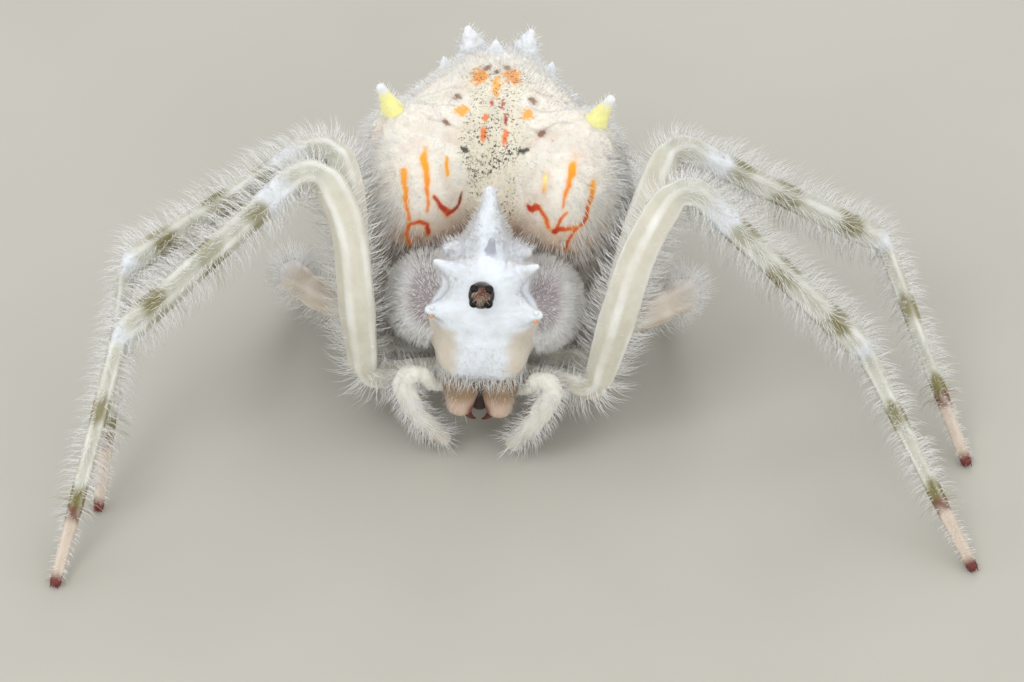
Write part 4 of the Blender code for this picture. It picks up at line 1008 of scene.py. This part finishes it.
def hair_mesh(name, radius, bent, pull, roots, normals, lies, length, lift, curl, colours, speckle, places):
    """Many thin tapered hairs as one mesh. Each rises from its root and bends over to its lie."""
    lies = units(lies - normals * (lies * normals).sum(axis=1)[:, None])
    across = np.cross(normals, lies)
    rising = units(lies * (1 - lift)[:, None] + normals * lift[:, None])
    over = units(rising + lies * curl[:, None])
    side = np.cross(rising, across)
    half = (length * 0.5)[:, None]
    base = roots - rising * ROOT_DEPTH
    middle = base + rising * (half + ROOT_DEPTH)
    tip = middle + over * half if bent else base + (over + rising) * half
    rings = [(base, 1.0), (middle, BEND_TAPER)] if bent else [(base, 1.0)]
    layers, facing = [], []
    for centre, share in rings:
        for a in 2 * math.pi * np.arange(3) / 3:
            out = across * math.cos(a) + side * math.sin(a)
            layers.append(centre + out * (radius * share))
            facing.append(units(normals * SKIN_SHARE + out * (1 - SKIN_SHARE) + pull))
    layers.append(tip)
    facing.append(units(normals + pull))
    each = len(layers)
    points = np.stack(layers, axis=1).reshape(-1, 3)
    points[:, 2] = np.clip(points[:, 2], -SHIFT[2], CEILING - SHIFT[2])
    turns = ((0, 1), (1, 2), (2, 0))
    pattern = [(0, 2, 1)]
    if bent:
        for a, b in turns:
            pattern += [(a, b, b + 3), (a, b + 3, a + 3)]
    last = each - 4
    pattern += [(last + a, last + b, last + 3) for a, b in turns]
    faces = (np.arange(len(roots))[:, None, None] * each + np.array(pattern)).reshape(-1, 3)
    mesh = bpy.data.meshes.new(name)
    mesh.vertices.add(len(points))
    mesh.vertices.foreach_set("co", in_frame(points).astype(np.float32).ravel())
    mesh.loops.add(faces.size)
    mesh.loops.foreach_set("vertex_index", faces.astype(np.int32).ravel())
    mesh.polygons.add(len(faces))
    mesh.polygons.foreach_set("loop_start", np.arange(0, faces.size, 3, dtype=np.int32))
    mesh.update(calc_edges=True)
    mesh.shade_smooth()
    mesh.normals_split_custom_set_from_vertices(np.stack(facing, axis=1).reshape(-1, 3))
    set_markings(mesh, np.repeat(colours, each, axis=0), np.repeat(speckle, each))
    corner = np.array([[(p % 3) / 3, p // 3 / 3] for p in range(each)]) * UV_PATCH
    uv = (places[:, None] * (1 - UV_PATCH) + corner).reshape(-1, 2)
    layer = mesh.uv_layers.new(name="OFBake")
    layer.data.foreach_set("uv", uv[faces.ravel()].astype(np.float32).ravel())
    return mesh


def coat_tint(colours):
    """Hair is paler than the skin that it grows from, and keeps its markings."""
    most = colours.max(axis=1)
    strength = (most - colours.min(axis=1)) / np.maximum(most, 0.05)
    return mix(colours, HAIR_WHITE, np.clip(0.8 - 1.2 * np.maximum(strength - 0.3, 0.0), 0.0, 0.8))


def grow(name, surface, wanted, count, length, style, lie=None, tint=None, pull=SKY_PULL):
    """A coat piece: hairs scattered over the wanted places, with the length that each place has."""
    radius, lift, curl, bent = style
    length = np.broadcast_to(length, len(surface.points))
    corners, shares = scatter(surface, wanted, count)
    roots = blended(surface.points, corners, shares)
    normals = units(blended(surface.normals, corners, shares))
    nearest = corners[np.arange(count), shares.argmax(axis=1)]
    marks = surface.marks[nearest]
    lies = surface.lie[nearest] if lie is None else lie(roots)
    lies = lies + np.random.normal(0, 0.35, (count, 3))
    colours, speckle = markings(roots, marks)
    colours = coat_tint(colours) if tint is None else painted(tint, count)
    reach = blended(length[:, None], corners, shares)[:, 0] * np.random.uniform(0.65, 1.1, count)
    lift = np.clip(lift + np.random.normal(0, 0.08, count), 0.15, 1.0)
    curl = curl * np.random.uniform(0.5, 1.4, count)
    # Hair that would rise past the ceiling or reach the floor is cut shorter, or left out close to the floor.
    height = roots[:, 2] + SHIFT[2]
    tops = height + reach * np.maximum(normals[:, 2], 0.0) * 0.9
    reach = np.where(tops > CEILING, np.maximum(0.12, reach - (tops - CEILING)), reach)
    bottoms = height + reach * np.minimum(normals[:, 2] - 0.3, 0.0)
    reach = np.where(bottoms < 0.05, np.maximum(0.05, reach * 0.3), reach)
    keep = (reach > 0.04) & (height > 0.12)
    hairs = (roots, normals, lies, reach, lift, curl, colours, speckle, unwrap(roots, marks))
    mesh = hair_mesh(name, radius, bent, pull, *(values[keep] for values in hairs))
    add_object(name, mesh, bpy.data.materials["hair"])


def node_material(name):
    """A new node material with its tree and main shader."""
    made = bpy.data.materials.new(name)
    made.use_nodes = True
    tree = made.node_tree
    return made, tree, tree.nodes["Principled BSDF"]


def fixed(node, values):
    """Sets the inputs of a node that are the same everywhere."""
    for name, value in values.items():
        node.inputs[name].default_value = value


def noise(tree, scale, detail=3.0, roughness=0.6):
    """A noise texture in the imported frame. Scale is in features per millimetre."""
    place = tree.nodes.new("ShaderNodeTexCoord")
    texture = tree.nodes.new("ShaderNodeTexNoise")
    fixed(texture, {"Scale": scale / MM, "Detail": detail, "Roughness": roughness})
    tree.links.new(place.outputs["Object"], texture.inputs["Vector"])
    return texture.outputs["Fac"]


def remap(tree, value, low_in, high_in, low_out, high_out):
    """A value moved from one range to another, and held there."""
    node = tree.nodes.new("ShaderNodeMapRange")
    fixed(node, {"From Min": low_in, "From Max": high_in, "To Min": low_out, "To Max": high_out})
    tree.links.new(value, node.inputs["Value"])
    return node.outputs["Result"]


def combined(tree, operation, a, b):
    """Two values added or multiplied."""
    node = tree.nodes.new("ShaderNodeMath")
    node.operation = operation
    tree.links.new(a, node.inputs[0])
    tree.links.new(b, node.inputs[1])
    return node.outputs["Value"]


def mixed_colour(tree, share, a, b, blend="MIX"):
    """Colour a moved to colour b, or multiplied by it, by a share. A colour may be a socket or fixed."""
    node = tree.nodes.new("ShaderNodeMix")
    node.data_type = "RGBA"
    node.blend_type = blend
    tree.links.new(share, node.inputs["Factor"])
    for name, value in (("A", a), ("B", b)):
        socket = next(s for s in node.inputs if s.name == name and s.type == "RGBA")
        if isinstance(value, bpy.types.NodeSocket):
            tree.links.new(value, socket)
        else:
            socket.default_value = (*linear(value), 1.0)
    return next(s for s in node.outputs if s.type == "RGBA")


def attribute(tree, name, output):
    """A value or colour stored on the mesh."""
    node = tree.nodes.new("ShaderNodeAttribute")
    node.attribute_name = name
    return node.outputs[output]


def bump(tree, shader, height, strength, depth):
    """Small relief from a height, in millimetres deep."""
    node = tree.nodes.new("ShaderNodeBump")
    fixed(node, {"Strength": strength, "Distance": depth * MM})
    tree.links.new(height, node.inputs["Height"])
    tree.links.new(node.outputs["Normal"], shader.inputs["Normal"])


def speckled(tree, share, clouding):
    """The stored colour, multiplied towards a cloud colour by a share that changes from place to place, with
    fine dark flecks where the skin is speckled.
    """
    colour = mixed_colour(tree, share, attribute(tree, "tint", "Color"), clouding, "MULTIPLY")
    amount = attribute(tree, "speckle", "Fac")
    denser = remap(tree, amount, 0.0, 1.8, -0.04, 0.05)
    flecks = remap(tree, combined(tree, "ADD", noise(tree, 11.0, 3.0, 0.75), denser), 0.56, 0.6, 0.0, 0.9)
    clusters = remap(tree, noise(tree, 1.3, 2.0, 0.6), 0.36, 0.52, 0.15, 1.0)
    dots = combined(tree, "MULTIPLY", flecks, clusters)
    dots = combined(tree, "MULTIPLY", dots, remap(tree, amount, 0.1, 0.6, 0.0, 1.0))
    return mixed_colour(tree, dots, colour, FLECK_BROWN)


def skin_material():
    """Cuticle that light enters a little, with fine mottling and pores."""
    made, tree, shader = node_material("skin")
    mottle = remap(tree, noise(tree, 1.6), 0.35, 0.7, 0.0, 0.32)
    tree.links.new(speckled(tree, mottle, SKIN_CLOUD), shader.inputs["Base Color"])
    tree.links.new(remap(tree, noise(tree, 5.0), 0.3, 0.7, 0.42, 0.68), shader.inputs["Roughness"])
    fixed(shader, {
        "Subsurface Weight": 0.5,
        "Subsurface Radius": (1.0, 0.8, 0.6),
        "Subsurface Scale": 0.13 * MM,
        "Coat Weight": 0.06,
        "Coat Roughness": 0.3,
    })
    bump(tree, shader, noise(tree, 9.0, 4.0, 0.65), 0.5, 0.03)
    return made


def hair_material():
    """White hair that keeps the skin's markings."""
    _, tree, shader = node_material("hair")
    # Darker clouds in the hair's colour that change at random.
    clouding = remap(tree, noise(tree, 12.0, 1.0), 0.3, 0.7, 0.0, 0.15)
    tree.links.new(speckled(tree, clouding, HAIR_CLOUD), shader.inputs["Base Color"])
    fixed(shader, {
        "Roughness": 0.5,
        "Specular IOR Level": 0.35,
        "Sheen Weight": 0.28,
        "Sheen Roughness": 0.4,
        "Subsurface Weight": 0.85,
        "Subsurface Radius": (1.0, 1.0, 1.0),
        "Subsurface Scale": 0.05 * MM,
    })


def eye_material():
    """Near black glass."""
    made, tree, shader = node_material("eye")
    deep = remap(tree, noise(tree, 3.0), 0.3, 0.7, 0.0, 1.0)
    colour = mixed_colour(tree, deep, (0.02, 0.015, 0.012), (0.06, 0.03, 0.02))
    tree.links.new(colour, shader.inputs["Base Color"])
    tree.links.new(remap(tree, noise(tree, 6.0), 0.3, 0.7, 0.05, 0.1), shader.inputs["Roughness"])
    fixed(shader, {"Specular IOR Level": 0.3})
    return made


def polish(tree, shader, colour, roughness, coat, coat_roughness, shine_scale, pore_scale):
    """Gives bare cuticle its colour, uneven shine, clear coat and fine relief."""
    tree.links.new(colour, shader.inputs["Base Color"])
    spread = remap(tree, noise(tree, shine_scale), 0.3, 0.7, roughness * 0.8, roughness * 1.3)
    tree.links.new(spread, shader.inputs["Roughness"])
    fixed(shader, {"Coat Weight": coat, "Coat Roughness": coat_roughness})
    bump(tree, shader, noise(tree, pore_scale), 0.4, 0.02)


def plain_cuticle(name, first, second, roughness, coat):
    """Bare cuticle of two colours in soft clouds."""
    made, tree, shader = node_material(name)
    clouds = remap(tree, noise(tree, 2.5), 0.35, 0.65, 0.0, 1.0)
    polish(tree, shader, mixed_colour(tree, clouds, first, second), roughness, coat, 0.15, 7.5, 10.0)
    return made


def tinted_cuticle(name, roughness, coat, depth=0.2, cloud=GREY_CLOUD):
    """Bare cuticle that takes the colour stored on its mesh, and lets light in to a depth."""
    made, tree, shader = node_material(name)
    clouds = remap(tree, noise(tree, 3.0), 0.35, 0.7, 0.0, 0.2)
    colour = mixed_colour(tree, clouds, attribute(tree, "tint", "Color"), cloud)
    polish(tree, shader, colour, roughness, coat, 0.2, 6.0, 8.0)
    fixed(shader, {"Subsurface Weight": depth, "Subsurface Scale": 0.3 * MM})
    return made


def turned(start, facing, profile, sides=48):
    """A round body turned about an axis, from a profile of (distance along, radius)."""
    start, facing = np.array(start), unit(facing)
    across = unit(np.cross(facing, (0.31, 0.17, 0.93)))
    up = np.cross(facing, across)
    points = []
    for along, radius in profile:
        for a in 2 * math.pi * np.arange(sides) / sides:
            points.append(start + facing * along + (math.cos(a) * across + math.sin(a) * up) * radius)
    faces = ring_faces(len(profile), sides)
    first, last = len(points), len(points) + 1
    points += [start + facing * profile[0][0], start + facing * profile[-1][0]]
    for j in range(sides):
        after = (j + 1) % sides
        faces += [(first, j, after), (last, first - sides + after, first - sides + j)]
    return points, faces


def add_eye(name, centre, facing, radius, material, sides=48):
    """An eye: a ball from close to its back to its front."""
    angles = np.linspace(math.pi * 0.95, 0.02, 14)
    profile = [(radius * math.cos(a), radius * math.sin(a)) for a in angles]
    add_piece(name, *turned(centre, facing, profile, sides), material, "eyes")


def make_mound(facing, up):
    """The mound of the middle eyes: brown below, red above, with a black rim."""
    shoulder = MOUND_LENGTH * 0.8
    dome = [(0.0, MOUND_RADIUS), (MOUND_LENGTH * 0.55, MOUND_RADIUS), (shoulder, MOUND_RADIUS * 0.99)]
    for a in np.linspace(0.15, 1.45, 9):
        dome.append((shoulder + 0.3 * math.sin(a), MOUND_RADIUS * math.cos(a) ** 0.75))
    points, faces = turned(MOUND_CENTRE, facing, dome)
    offset = np.array(points) - np.array(MOUND_CENTRE)
    off_axis = np.linalg.norm(offset - np.outer(offset @ facing, facing), axis=1)
    colours = painted(
        MOUND_BROWN, len(points),
        (MOUND_RED, ramp(offset @ up / MOUND_RADIUS, -0.25, 0.3)),
        (MOUND_BLACK, 0.98 * ramp(off_axis, 0.24, 0.33)),
    )
    mound = tinted_cuticle("eye_mound", 0.35, 0.1, 0.05, MOUND_CLOUD)
    add_piece("eye_mound", points, faces, mound, "eye_mound_cuticle", colours)


def make_eyes():
    """The dark mound with its four middle eyes, and the side eyes on the cheek horns."""
    black = eye_material()
    facing = unit(MOUND_FACING)
    up = unit(np.cross(facing, (1.0, 0.0, 0.0)))
    make_mound(facing, up)
    front = np.array(MOUND_CENTRE) + facing * (MOUND_LENGTH + 0.07)
    rows = (("upper", 1.0), ("lower", -1.0))
    for side in SIDES:
        for place, sense in rows:
            out = np.array((SIGN[side], 0.0, 0.0)) + up * sense
            centre = front + out * MIDDLE_EYE_SPREAD
            add_eye(f"eye_{place}_middle_{side}", centre, facing + out * 0.35, MIDDLE_EYE_RADIUS, black)
    glass = {
        "upper": plain_cuticle("pearl_eye", (0.84, 0.86, 0.90), (0.90, 0.91, 0.93), 0.2, 0.6),
        "lower": plain_cuticle("amber_eye", (0.72, 0.42, 0.20), (0.86, 0.62, 0.40), 0.2, 0.6),
    }
    apart = np.array((0.0, -0.2, 0.98)) * SIDE_EYE_APART / 2
    for side in SIDES:
        place_on_horn = mirrored(PAIRED_HORNS[1][1], side) + np.array((-SIGN[side] * 0.16, -0.1, 0.0))
        for place, sense in rows:
            centre = place_on_horn + apart * sense
            look = unit((SIGN[side] * 0.7, -0.7, 0.2 * sense))
            add_eye(f"eye_{place}_side_{side}", centre, look, SIDE_EYE_RADIUS, glass[place], 24)


def make_knobs():
    """The two yellow shoulder knobs with their white tips."""
    knob = tinted_cuticle("shoulder_knob", 0.5, 0.1)
    for side in SIDES:
        root, tip = (mirrored(end, side) for end in SHOULDER_KNOB[:2])
        shapes = Shapes()
        shapes.horn(root, tip, *SHOULDER_KNOB[2:], 0.0, HORN, 28)
        points = np.array(shapes.points)
        wave = 0.02 * np.sin(points[:, 0] * 9) * np.cos(points[:, 1] * 8 + points[:, 2] * 7)
        points += unit(tip - root) * wave[:, None]
        height = (points - root) @ unit(tip - root) / np.linalg.norm(tip - root)
        colours = painted(
            KNOB_YELLOW, len(points),
            (SNOW, 0.9 * ramp(height, 0.72, 0.95)),
            (CREAM, 0.7 * ramp(-height, -0.2, 0.0)),
        )
        add_piece(f"shoulder_knob_{side}", points, shapes.faces, knob, "knob_cuticle", colours)


def make_mouth():
    """Jaws, pink in the middle and dark red within, painted brown above as the shadow of the fringe, with the
    fangs folded between them.
    """
    jaws = tinted_cuticle("jaws", 0.35, 0.3)
    fangs = plain_cuticle("fangs", (0.25, 0.07, 0.05), (0.42, 0.14, 0.08), 0.2, 0.6)
    steps = np.linspace(0, 1, 14)
    top_radius, bottom_radius = JAW[2:]
    radii = np.interp(steps, (0, 0.4, 1), (top_radius * 0.9, top_radius, bottom_radius))
    for side in SIDES:
        top, bottom = (mirrored(end, side) for end in JAW[:2])
        jaw = Shapes()
        jaw.tube([top + (bottom - top) * t for t in steps], radii, BELLY, 32, rounding=8)
        x, _, z = np.array(jaw.points).T
        inner = ramp(-x * SIGN[side], -0.5, -0.25)
        colours = painted(
            JAW_PINK, len(x),
            # Painted shadow of the fringe on the upper part.
            (JAW_FRINGE_SHADOW, 0.9 * ramp(z, 1.95, 2.5)),
            (DEEP_RUST, 0.55 * ramp(-z, -1.6, -1.2)),
            (CLARET, 0.95 * inner * ramp(-z, -2.3, -1.7)),
        )
        add_piece(f"jaw_{side}", jaw.points, jaw.faces, jaws, "pink_cuticle", colours)
        fang = Shapes()
        fang.horn(mirrored(FANG[0], side), mirrored(FANG[1], side), *FANG[2:], FANG_BOW, HORN, 16)
        add_piece(f"fang_{side}", fang.points, fang.faces, fangs, "fangs")


# Claws: length, radius, how high they arch, and how low their middle line may come.
CLAW_LENGTH, CLAW_RADIUS, CLAW_ARCH, CLAW_LOWEST = 0.3, 0.055, 0.16, 0.045


def make_claws():
    """A pair of small hooked claws on each foot."""
    dark = plain_cuticle("claws", (0.24, 0.04, 0.035), (0.42, 0.10, 0.08), 0.25, 0.5)
    steps = np.linspace(0, 1, 9)
    arch = np.outer(np.sin(steps * math.pi), (0, 0, CLAW_ARCH))
    for limb in LIMBS:
        if not limb.number:
            continue
        end = limb.line[-1]
        forward = unit(end - limb.line[-3])
        across = unit(np.cross(forward, (0.0, 0.0, 1.0)))
        shapes = Shapes()
        for turn in (-1.0, 1.0):
            root = end - forward * 0.1 + across * turn * 0.04
            reach = unit(forward * 0.85 + across * turn * 0.25) * CLAW_LENGTH
            line = root + np.outer(steps, reach) + arch
            line[:, 2] = np.maximum(line[:, 2], CLAW_LOWEST)
            shapes.tube(line, CLAW_RADIUS * (1 - steps * 0.8), HORN, 12, rounding=3)
        add_piece(f"claws_{limb.name}", shapes.points, shapes.faces, dark, "pink_cuticle")


def make_skin():
    """The skin, in its markings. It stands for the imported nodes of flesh."""
    shapes = gather_shapes()
    mesh = skin_surface(shapes)
    skin = Skin(mesh, shapes)
    set_markings(mesh, *markings(skin.points, skin.marks))
    mesh.vertices.foreach_set("co", in_frame(skin.points).astype(np.float32).ravel())
    mesh.shade_smooth()
    mesh.update()
    flesh = [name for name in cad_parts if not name.startswith(PIECES_APART)]
    add_object("skin", mesh, skin_material(), flesh)
    return skin


# Styles of hair: radius, how steeply it rises, how much it curls over, and whether it is bent halfway.
LEG_STYLE = (0.0108, 0.82, 0.6, True)
PALP_STYLE = (0.0095, 0.7, 0.4, True)
ABDOMEN_DOWN_STYLE = (0.0085, 0.7, 0.2, False)
ABDOMEN_STYLE = (0.0115, 0.82, 0.4, True)
LOBE_STYLE = (0.0105, 1.0, 0.15, True)
CREST_STYLE = (0.008, 0.7, 0.2, True)
HEAD_DOWN_STYLE = (0.008, 0.95, 0.2, False)
FRINGE_STYLE = (0.0082, 0.4, 0.4, True)
# Hair of the limbs: length on femur, patella, tibia, metatarsus and tarsus, and hairs per square millimetre.
LEG_HAIR = (1.05, 0.85, 1.05, 0.78, 0.3)
LEG_DENSITY = {1: 58, 2: 58, 3: 70, 4: 50}
MOST_HAIRS = 19000
BARE_FACE = (0.0, -0.79, 0.61)
# How many hairs each palp, each side of the abdomen and each coat of the head has.
PALP_HAIRS, ABDOMEN_DOWN, ABDOMEN_HAIRS = 850, 17000, 9000
LOBE_HAIRS, CREST_HAIRS, HEAD_DOWN, FRINGE_HAIRS = 6500, 1000, 12000, 280
LOBE_HAIR_LENGTH, FRINGE_LENGTH = 0.32, 0.78
FRINGE_LIE = (0.0, -0.15, -1.0)
# Places on the middle line that hair lies away from.
ABDOMEN_PARTING = np.array((0.0, 6.0, 9.5))
CARAPACE_PARTING = np.array((0.0, -1.2, 7.5))
# Sparse hair of the separate pieces: kind, hairs, length, radius, lie, colour and slot.
SMALL_COATS = {
    "eye_mound": (HORN, 90, 0.11, 0.006, (0.0, -0.6, -0.8), (0.66, 0.55, 0.44), "eye_mound_cuticle"),
    "jaw_left": (BELLY, 220, 0.3, 0.007, (0.0, -0.2, -1.0), (0.90, 0.84, 0.76), "pink_cuticle"),
    "jaw_right": (BELLY, 220, 0.3, 0.007, (0.0, -0.2, -1.0), (0.90, 0.84, 0.76), "pink_cuticle"),
    "shoulder_knob_left": (TUBERCLE, 300, 0.28, 0.0085, (-0.6, 0.0, 0.8), (0.97, 0.97, 0.95), "knob_cuticle"),
    "shoulder_knob_right": (TUBERCLE, 300, 0.28, 0.0085, (0.6, 0.0, 0.8), (0.97, 0.97, 0.95), "knob_cuticle"),
}


def away_from(parting):
    """Hair that lies away from a place."""
    return lambda roots: roots - parting


def one_way(lie):
    """Hair that all lies the same way."""
    return lambda roots: np.tile(lie, (len(roots), 1))


def leg_hair(skin, index):
    """How long hair grows on a leg, and how thickly. The front of the femora is nearly bare."""
    limb = LIMBS[index]
    femur_at, knee_at, ankle_at, wrist_at = limb.joints
    femur, patella, tibia, metatarsus, tarsus = LEG_HAIR
    stations = (
        (0.0, 0.2),
        (femur_at, femur),
        (knee_at - 0.6, femur),
        (knee_at + 0.4, patella * 0.8),
        (knee_at + 1.6, tibia),
        (ankle_at - 0.4, tibia * 0.9),
        (ankle_at + 0.4, metatarsus),
        (wrist_at - 0.2, metatarsus),
        (wrist_at + 0.2, tarsus),
        (limb.along[-1], tarsus * 0.7),
    )
    length = np.interp(skin.along, *zip(*stations)) * (0.8 if limb.number > 2 else 1.0)
    on_femur = ramp(-skin.along, -knee_at, -knee_at + 0.5)
    bare = on_femur * ramp(skin.normals @ unit(BARE_FACE), -0.25, 0.2)
    bare *= ramp(skin.along, femur_at, femur_at + 0.8)
    wanted = (skin.limb == index) * (1 - 0.97 * bare) * (1 - 0.15 * on_femur)
    return wanted, length * (1 - 0.7 * bare)


def grow_limbs(skin):
    """The coats of the legs and palps."""
    for index, limb in enumerate(LIMBS):
        if limb.number:
            wanted, length = leg_hair(skin, index)
            covered = wanted_area(skin, wanted).sum() / 2
            count = min(MOST_HAIRS, round(covered * LEG_DENSITY[limb.number]))
            grow(f"coat_{limb.name}", skin, wanted, count, length, LEG_STYLE)
        else:
            root, second, third, *_ = limb.joints
            wanted = (skin.limb == index) * (0.5 + 0.5 * ramp(skin.along, root, second))
            length = np.interp(skin.along, (root, third, limb.along[-1]), (0.2, 0.46, 0.72))
            grow(f"coat_{limb.name}", skin, wanted, PALP_HAIRS, length, PALP_STYLE)


def grow_abdomen(skin):
    """Short fine down, and longer hair that stands out on the shoulders, flanks and below."""
    x, y, z = skin.points.T
    flank = ramp(np.abs(x), 2.0, 3.3) * ramp(-z, -8.6, -7.2)
    standing = np.maximum(flank, ramp(-z, -6.3, -5.2))
    colours = abdomen_colours(skin.points)[0]
    vivid = ramp((colours.max(axis=1) - colours.min(axis=1)) / colours.max(axis=1), 0.5, 0.75)
    plain = 1 - 0.95 * vivid
    thick = np.maximum(0.06, np.maximum(standing, 0.5 * ramp(y, 5.5, 7.5)))
    slot, away = "abdomen_cuticle", away_from(ABDOMEN_PARTING)
    for side in SIDES:
        mine = np.isin(skin.kind, ABDOMEN_KINDS) & (x * SIGN[side] >= 0)
        wanted = mine * (0.4 + 0.6 * ramp(z, 3.0, 4.0)) * plain
        length = (0.13 + 0.05 * flank) * (1 - 0.45 * vivid)
        grow(f"down_abdomen_{side}", skin, wanted, ABDOMEN_DOWN, length, ABDOMEN_DOWN_STYLE, away)
        wanted = mine * thick * (np.where(skin.kind == TUBERCLE, 0.6, 1.0) * plain)
        length = 0.28 + 0.3 * standing
        grow(f"coat_abdomen_{side}", skin, wanted, ABDOMEN_HAIRS, length, ABDOMEN_STYLE, away)


def grow_carapace(skin):
    """Standing hair on the side lobes and the crest, down on the head, and the fringe over the jaws."""
    x, y, z = skin.points.T
    aside = np.abs(x)
    horn = skin.kind == HORN
    on_body = np.isin(skin.kind, (CARAPACE, HORN)) & (z > CARAPACE_FLOOR + 0.05)
    lobe = lobe_share(skin.points)
    sideways = 0.12 + 0.88 * ramp(np.abs(skin.normals[:, 0]), 0.3, 0.6)
    hump = ramp(aside, 0.55, 0.85) * ramp(z, 6.2, 6.45)
    crest = ramp(y, -1.7, -1.15) * np.maximum(ramp(z, 6.45, 6.8) * sideways, 0.8 * hump)
    spike = ramp(-np.abs(x - 0.12), -0.5, -0.3) * ramp(z, 6.5, 6.7) * ramp(-y, 1.1, 1.3)
    block = ramp(-aside, -1.0, -0.7) * ramp(-z, -4.7, -4.4) * ramp(-y, 2.5, 2.8)
    brow = ramp(z, 6.3, 6.7) * (1 - ramp(z, 7.3, 7.9)) * ramp(-aside, -2.2, -1.2)
    slot, away = "carapace_cuticle", away_from(CARAPACE_PARTING)
    wanted = on_body * np.maximum(lobe, 0.15 * ramp(y, -1.2, -0.4))
    grow("coat_lobes", skin, wanted, LOBE_HAIRS, LOBE_HAIR_LENGTH, LOBE_STYLE, away)
    wanted = on_body * crest * (1 - spike)
    grow("coat_crest", skin, wanted, CREST_HAIRS, 0.3 - 0.12 * ramp(z, 6.9, 8.3), CREST_STYLE,
         lambda roots: roots * (0.6, 0.0, 0.0) + (0.0, 0.0, 1.0), CREST_WHITE, FRONT_PULL)
    wanted = on_body * (0.4 + 0.6 * np.maximum(np.maximum(block, brow), 0.8 * horn)) * (1 - lobe)
    wanted *= 1 - 0.9 * spike
    length = 0.08 + 0.04 * block + 0.07 * brow + 0.04 * horn
    grow("down_head", skin, wanted, HEAD_DOWN, length, HEAD_DOWN_STYLE, away, pull=FRONT_PULL)
    wanted = (on_body & (y < -2.2)) * ramp(-np.abs(z - 3.2), -0.3, -0.1)
    grow("coat_fringe", skin, wanted, FRINGE_HAIRS, FRINGE_LENGTH, FRINGE_STYLE, one_way(FRINGE_LIE))


def grow_small():
    """Sparse short hair on the eye mound's face, the jaws and the shoulder knobs."""
    for name, (kind, count, length, radius, lie, tint, slot) in SMALL_COATS.items():
        patch = Patch(bpy.data.objects[name].data, kind)
        wanted = np.ones(len(patch.points))
        if name == "eye_mound":
            wanted = ramp(patch.normals @ unit(MOUND_FACING), 0.7, 0.9)
        elif kind == BELLY:
            wanted = ramp(np.abs(patch.points[:, 0]), 0.4, 0.6) * ramp(patch.points[:, 2], 1.5, 1.9)
        grow(f"coat_{name}", patch, wanted, count, length, (radius, 0.7, 0.4, True), one_way(lie), tint)


# Camera of the photo: how far it looks down, its roll, distance, the width that it sees at the spider, and
# where in the picture the point lies that it is set by.
ELEVATION, ROLL = 38.0, 3.0
DISTANCE, VIEW_WIDTH = 170.0, 33.4
SENSOR = 36.0
AIM = (0.0, 0.0, 4.0)
AIM_PIXEL = (485, 300)
PICTURE = (1024, 682)


def make_camera():
    """The camera at the photo's angle and framing."""
    e, r = math.radians(ELEVATION), math.radians(ROLL)
    across = np.array((1.0, 0.0, 0.0))
    back = np.array((0.0, -math.cos(e), math.sin(e)))
    level_up = unit(np.cross(back, across))
    right = math.cos(r) * across + math.sin(r) * level_up
    up = -math.sin(r) * across + math.cos(r) * level_up
    pixel = VIEW_WIDTH / PICTURE[0]
    place = np.array(AIM) + SHIFT + back * DISTANCE
    place += right * (PICTURE[0] / 2 - AIM_PIXEL[0]) * pixel
    place -= up * (PICTURE[1] / 2 - AIM_PIXEL[1]) * pixel
    data = bpy.data.cameras.new("camera")
    data.sensor_width = SENSOR
    data.lens = SENSOR * DISTANCE / VIEW_WIDTH
    data.clip_start = 0.001
    data.clip_end = 10.0
    camera = bpy.data.objects.new("camera", data)
    turn = Matrix((right, up, back)).transposed().to_4x4()
    camera.matrix_world = Matrix.Translation(Vector(place * MM)) @ turn
    bpy.context.scene.collection.objects.link(camera)
    bpy.context.scene.camera = camera


# Soft square lights: place, height of the point that they aim at, size and power.
LIGHTS = {
    "key": ((-45.0, -50.0, 90.0), 4.0, 38.0, 0.026),
    "fill": ((35.0, -95.0, 35.0), 4.0, 70.0, 0.02),
    "rim": ((10.0, 80.0, 60.0), 5.0, 40.0, 0.022),
    "left": ((-95.0, -30.0, 25.0), 4.0, 60.0, 0.012),
    "right": ((95.0, -30.0, 25.0), 4.0, 60.0, 0.012),
}


def make_studio():
    """Pale floor, plain surroundings and soft lights."""
    bpy.ops.mesh.primitive_plane_add(size=0.6, location=(0.0, 0.0, 0.0))
    floor = bpy.context.object
    floor.name = "floor"
    made, tree, shader = node_material("floor")
    tone = remap(tree, noise(tree, 0.05), 0.3, 0.7, 0.0, 1.0)
    colour = mixed_colour(tree, tone, (0.685, 0.68, 0.65), (0.71, 0.705, 0.675))
    tree.links.new(colour, shader.inputs["Base Color"])
    fixed(shader, {"Roughness": 0.9})
    floor.data.materials.append(made)
    world = bpy.data.worlds.new("studio")
    bpy.context.scene.world = world
    world.use_nodes = True
    fixed(world.node_tree.nodes["Background"], {"Color": (1.0, 0.985, 0.955, 1.0), "Strength": 0.93})
    bpy.context.scene.view_settings.view_transform = "Standard"
    for name, (place, aim_height, size, power) in LIGHTS.items():
        data = bpy.data.lights.new(name, "AREA")
        data.energy = power
        data.size = size * MM
        light = bpy.data.objects.new(name, data)
        light.location = Vector(place) * MM
        way = Vector((0.0, 0.0, aim_height)) - Vector(place)
        light.rotation_euler = way.to_track_quat("-Z", "Y").to_euler()
        bpy.context.scene.collection.objects.link(light)


def main():
    """The whole spider, its camera and its studio."""
    skin = make_skin()
    make_eyes()
    make_knobs()
    make_mouth()
    make_claws()
    hair_material()
    grow_limbs(skin)
    grow_abdomen(skin)
    grow_carapace(skin)
    grow_small()
    make_camera()
    make_studio()


main()
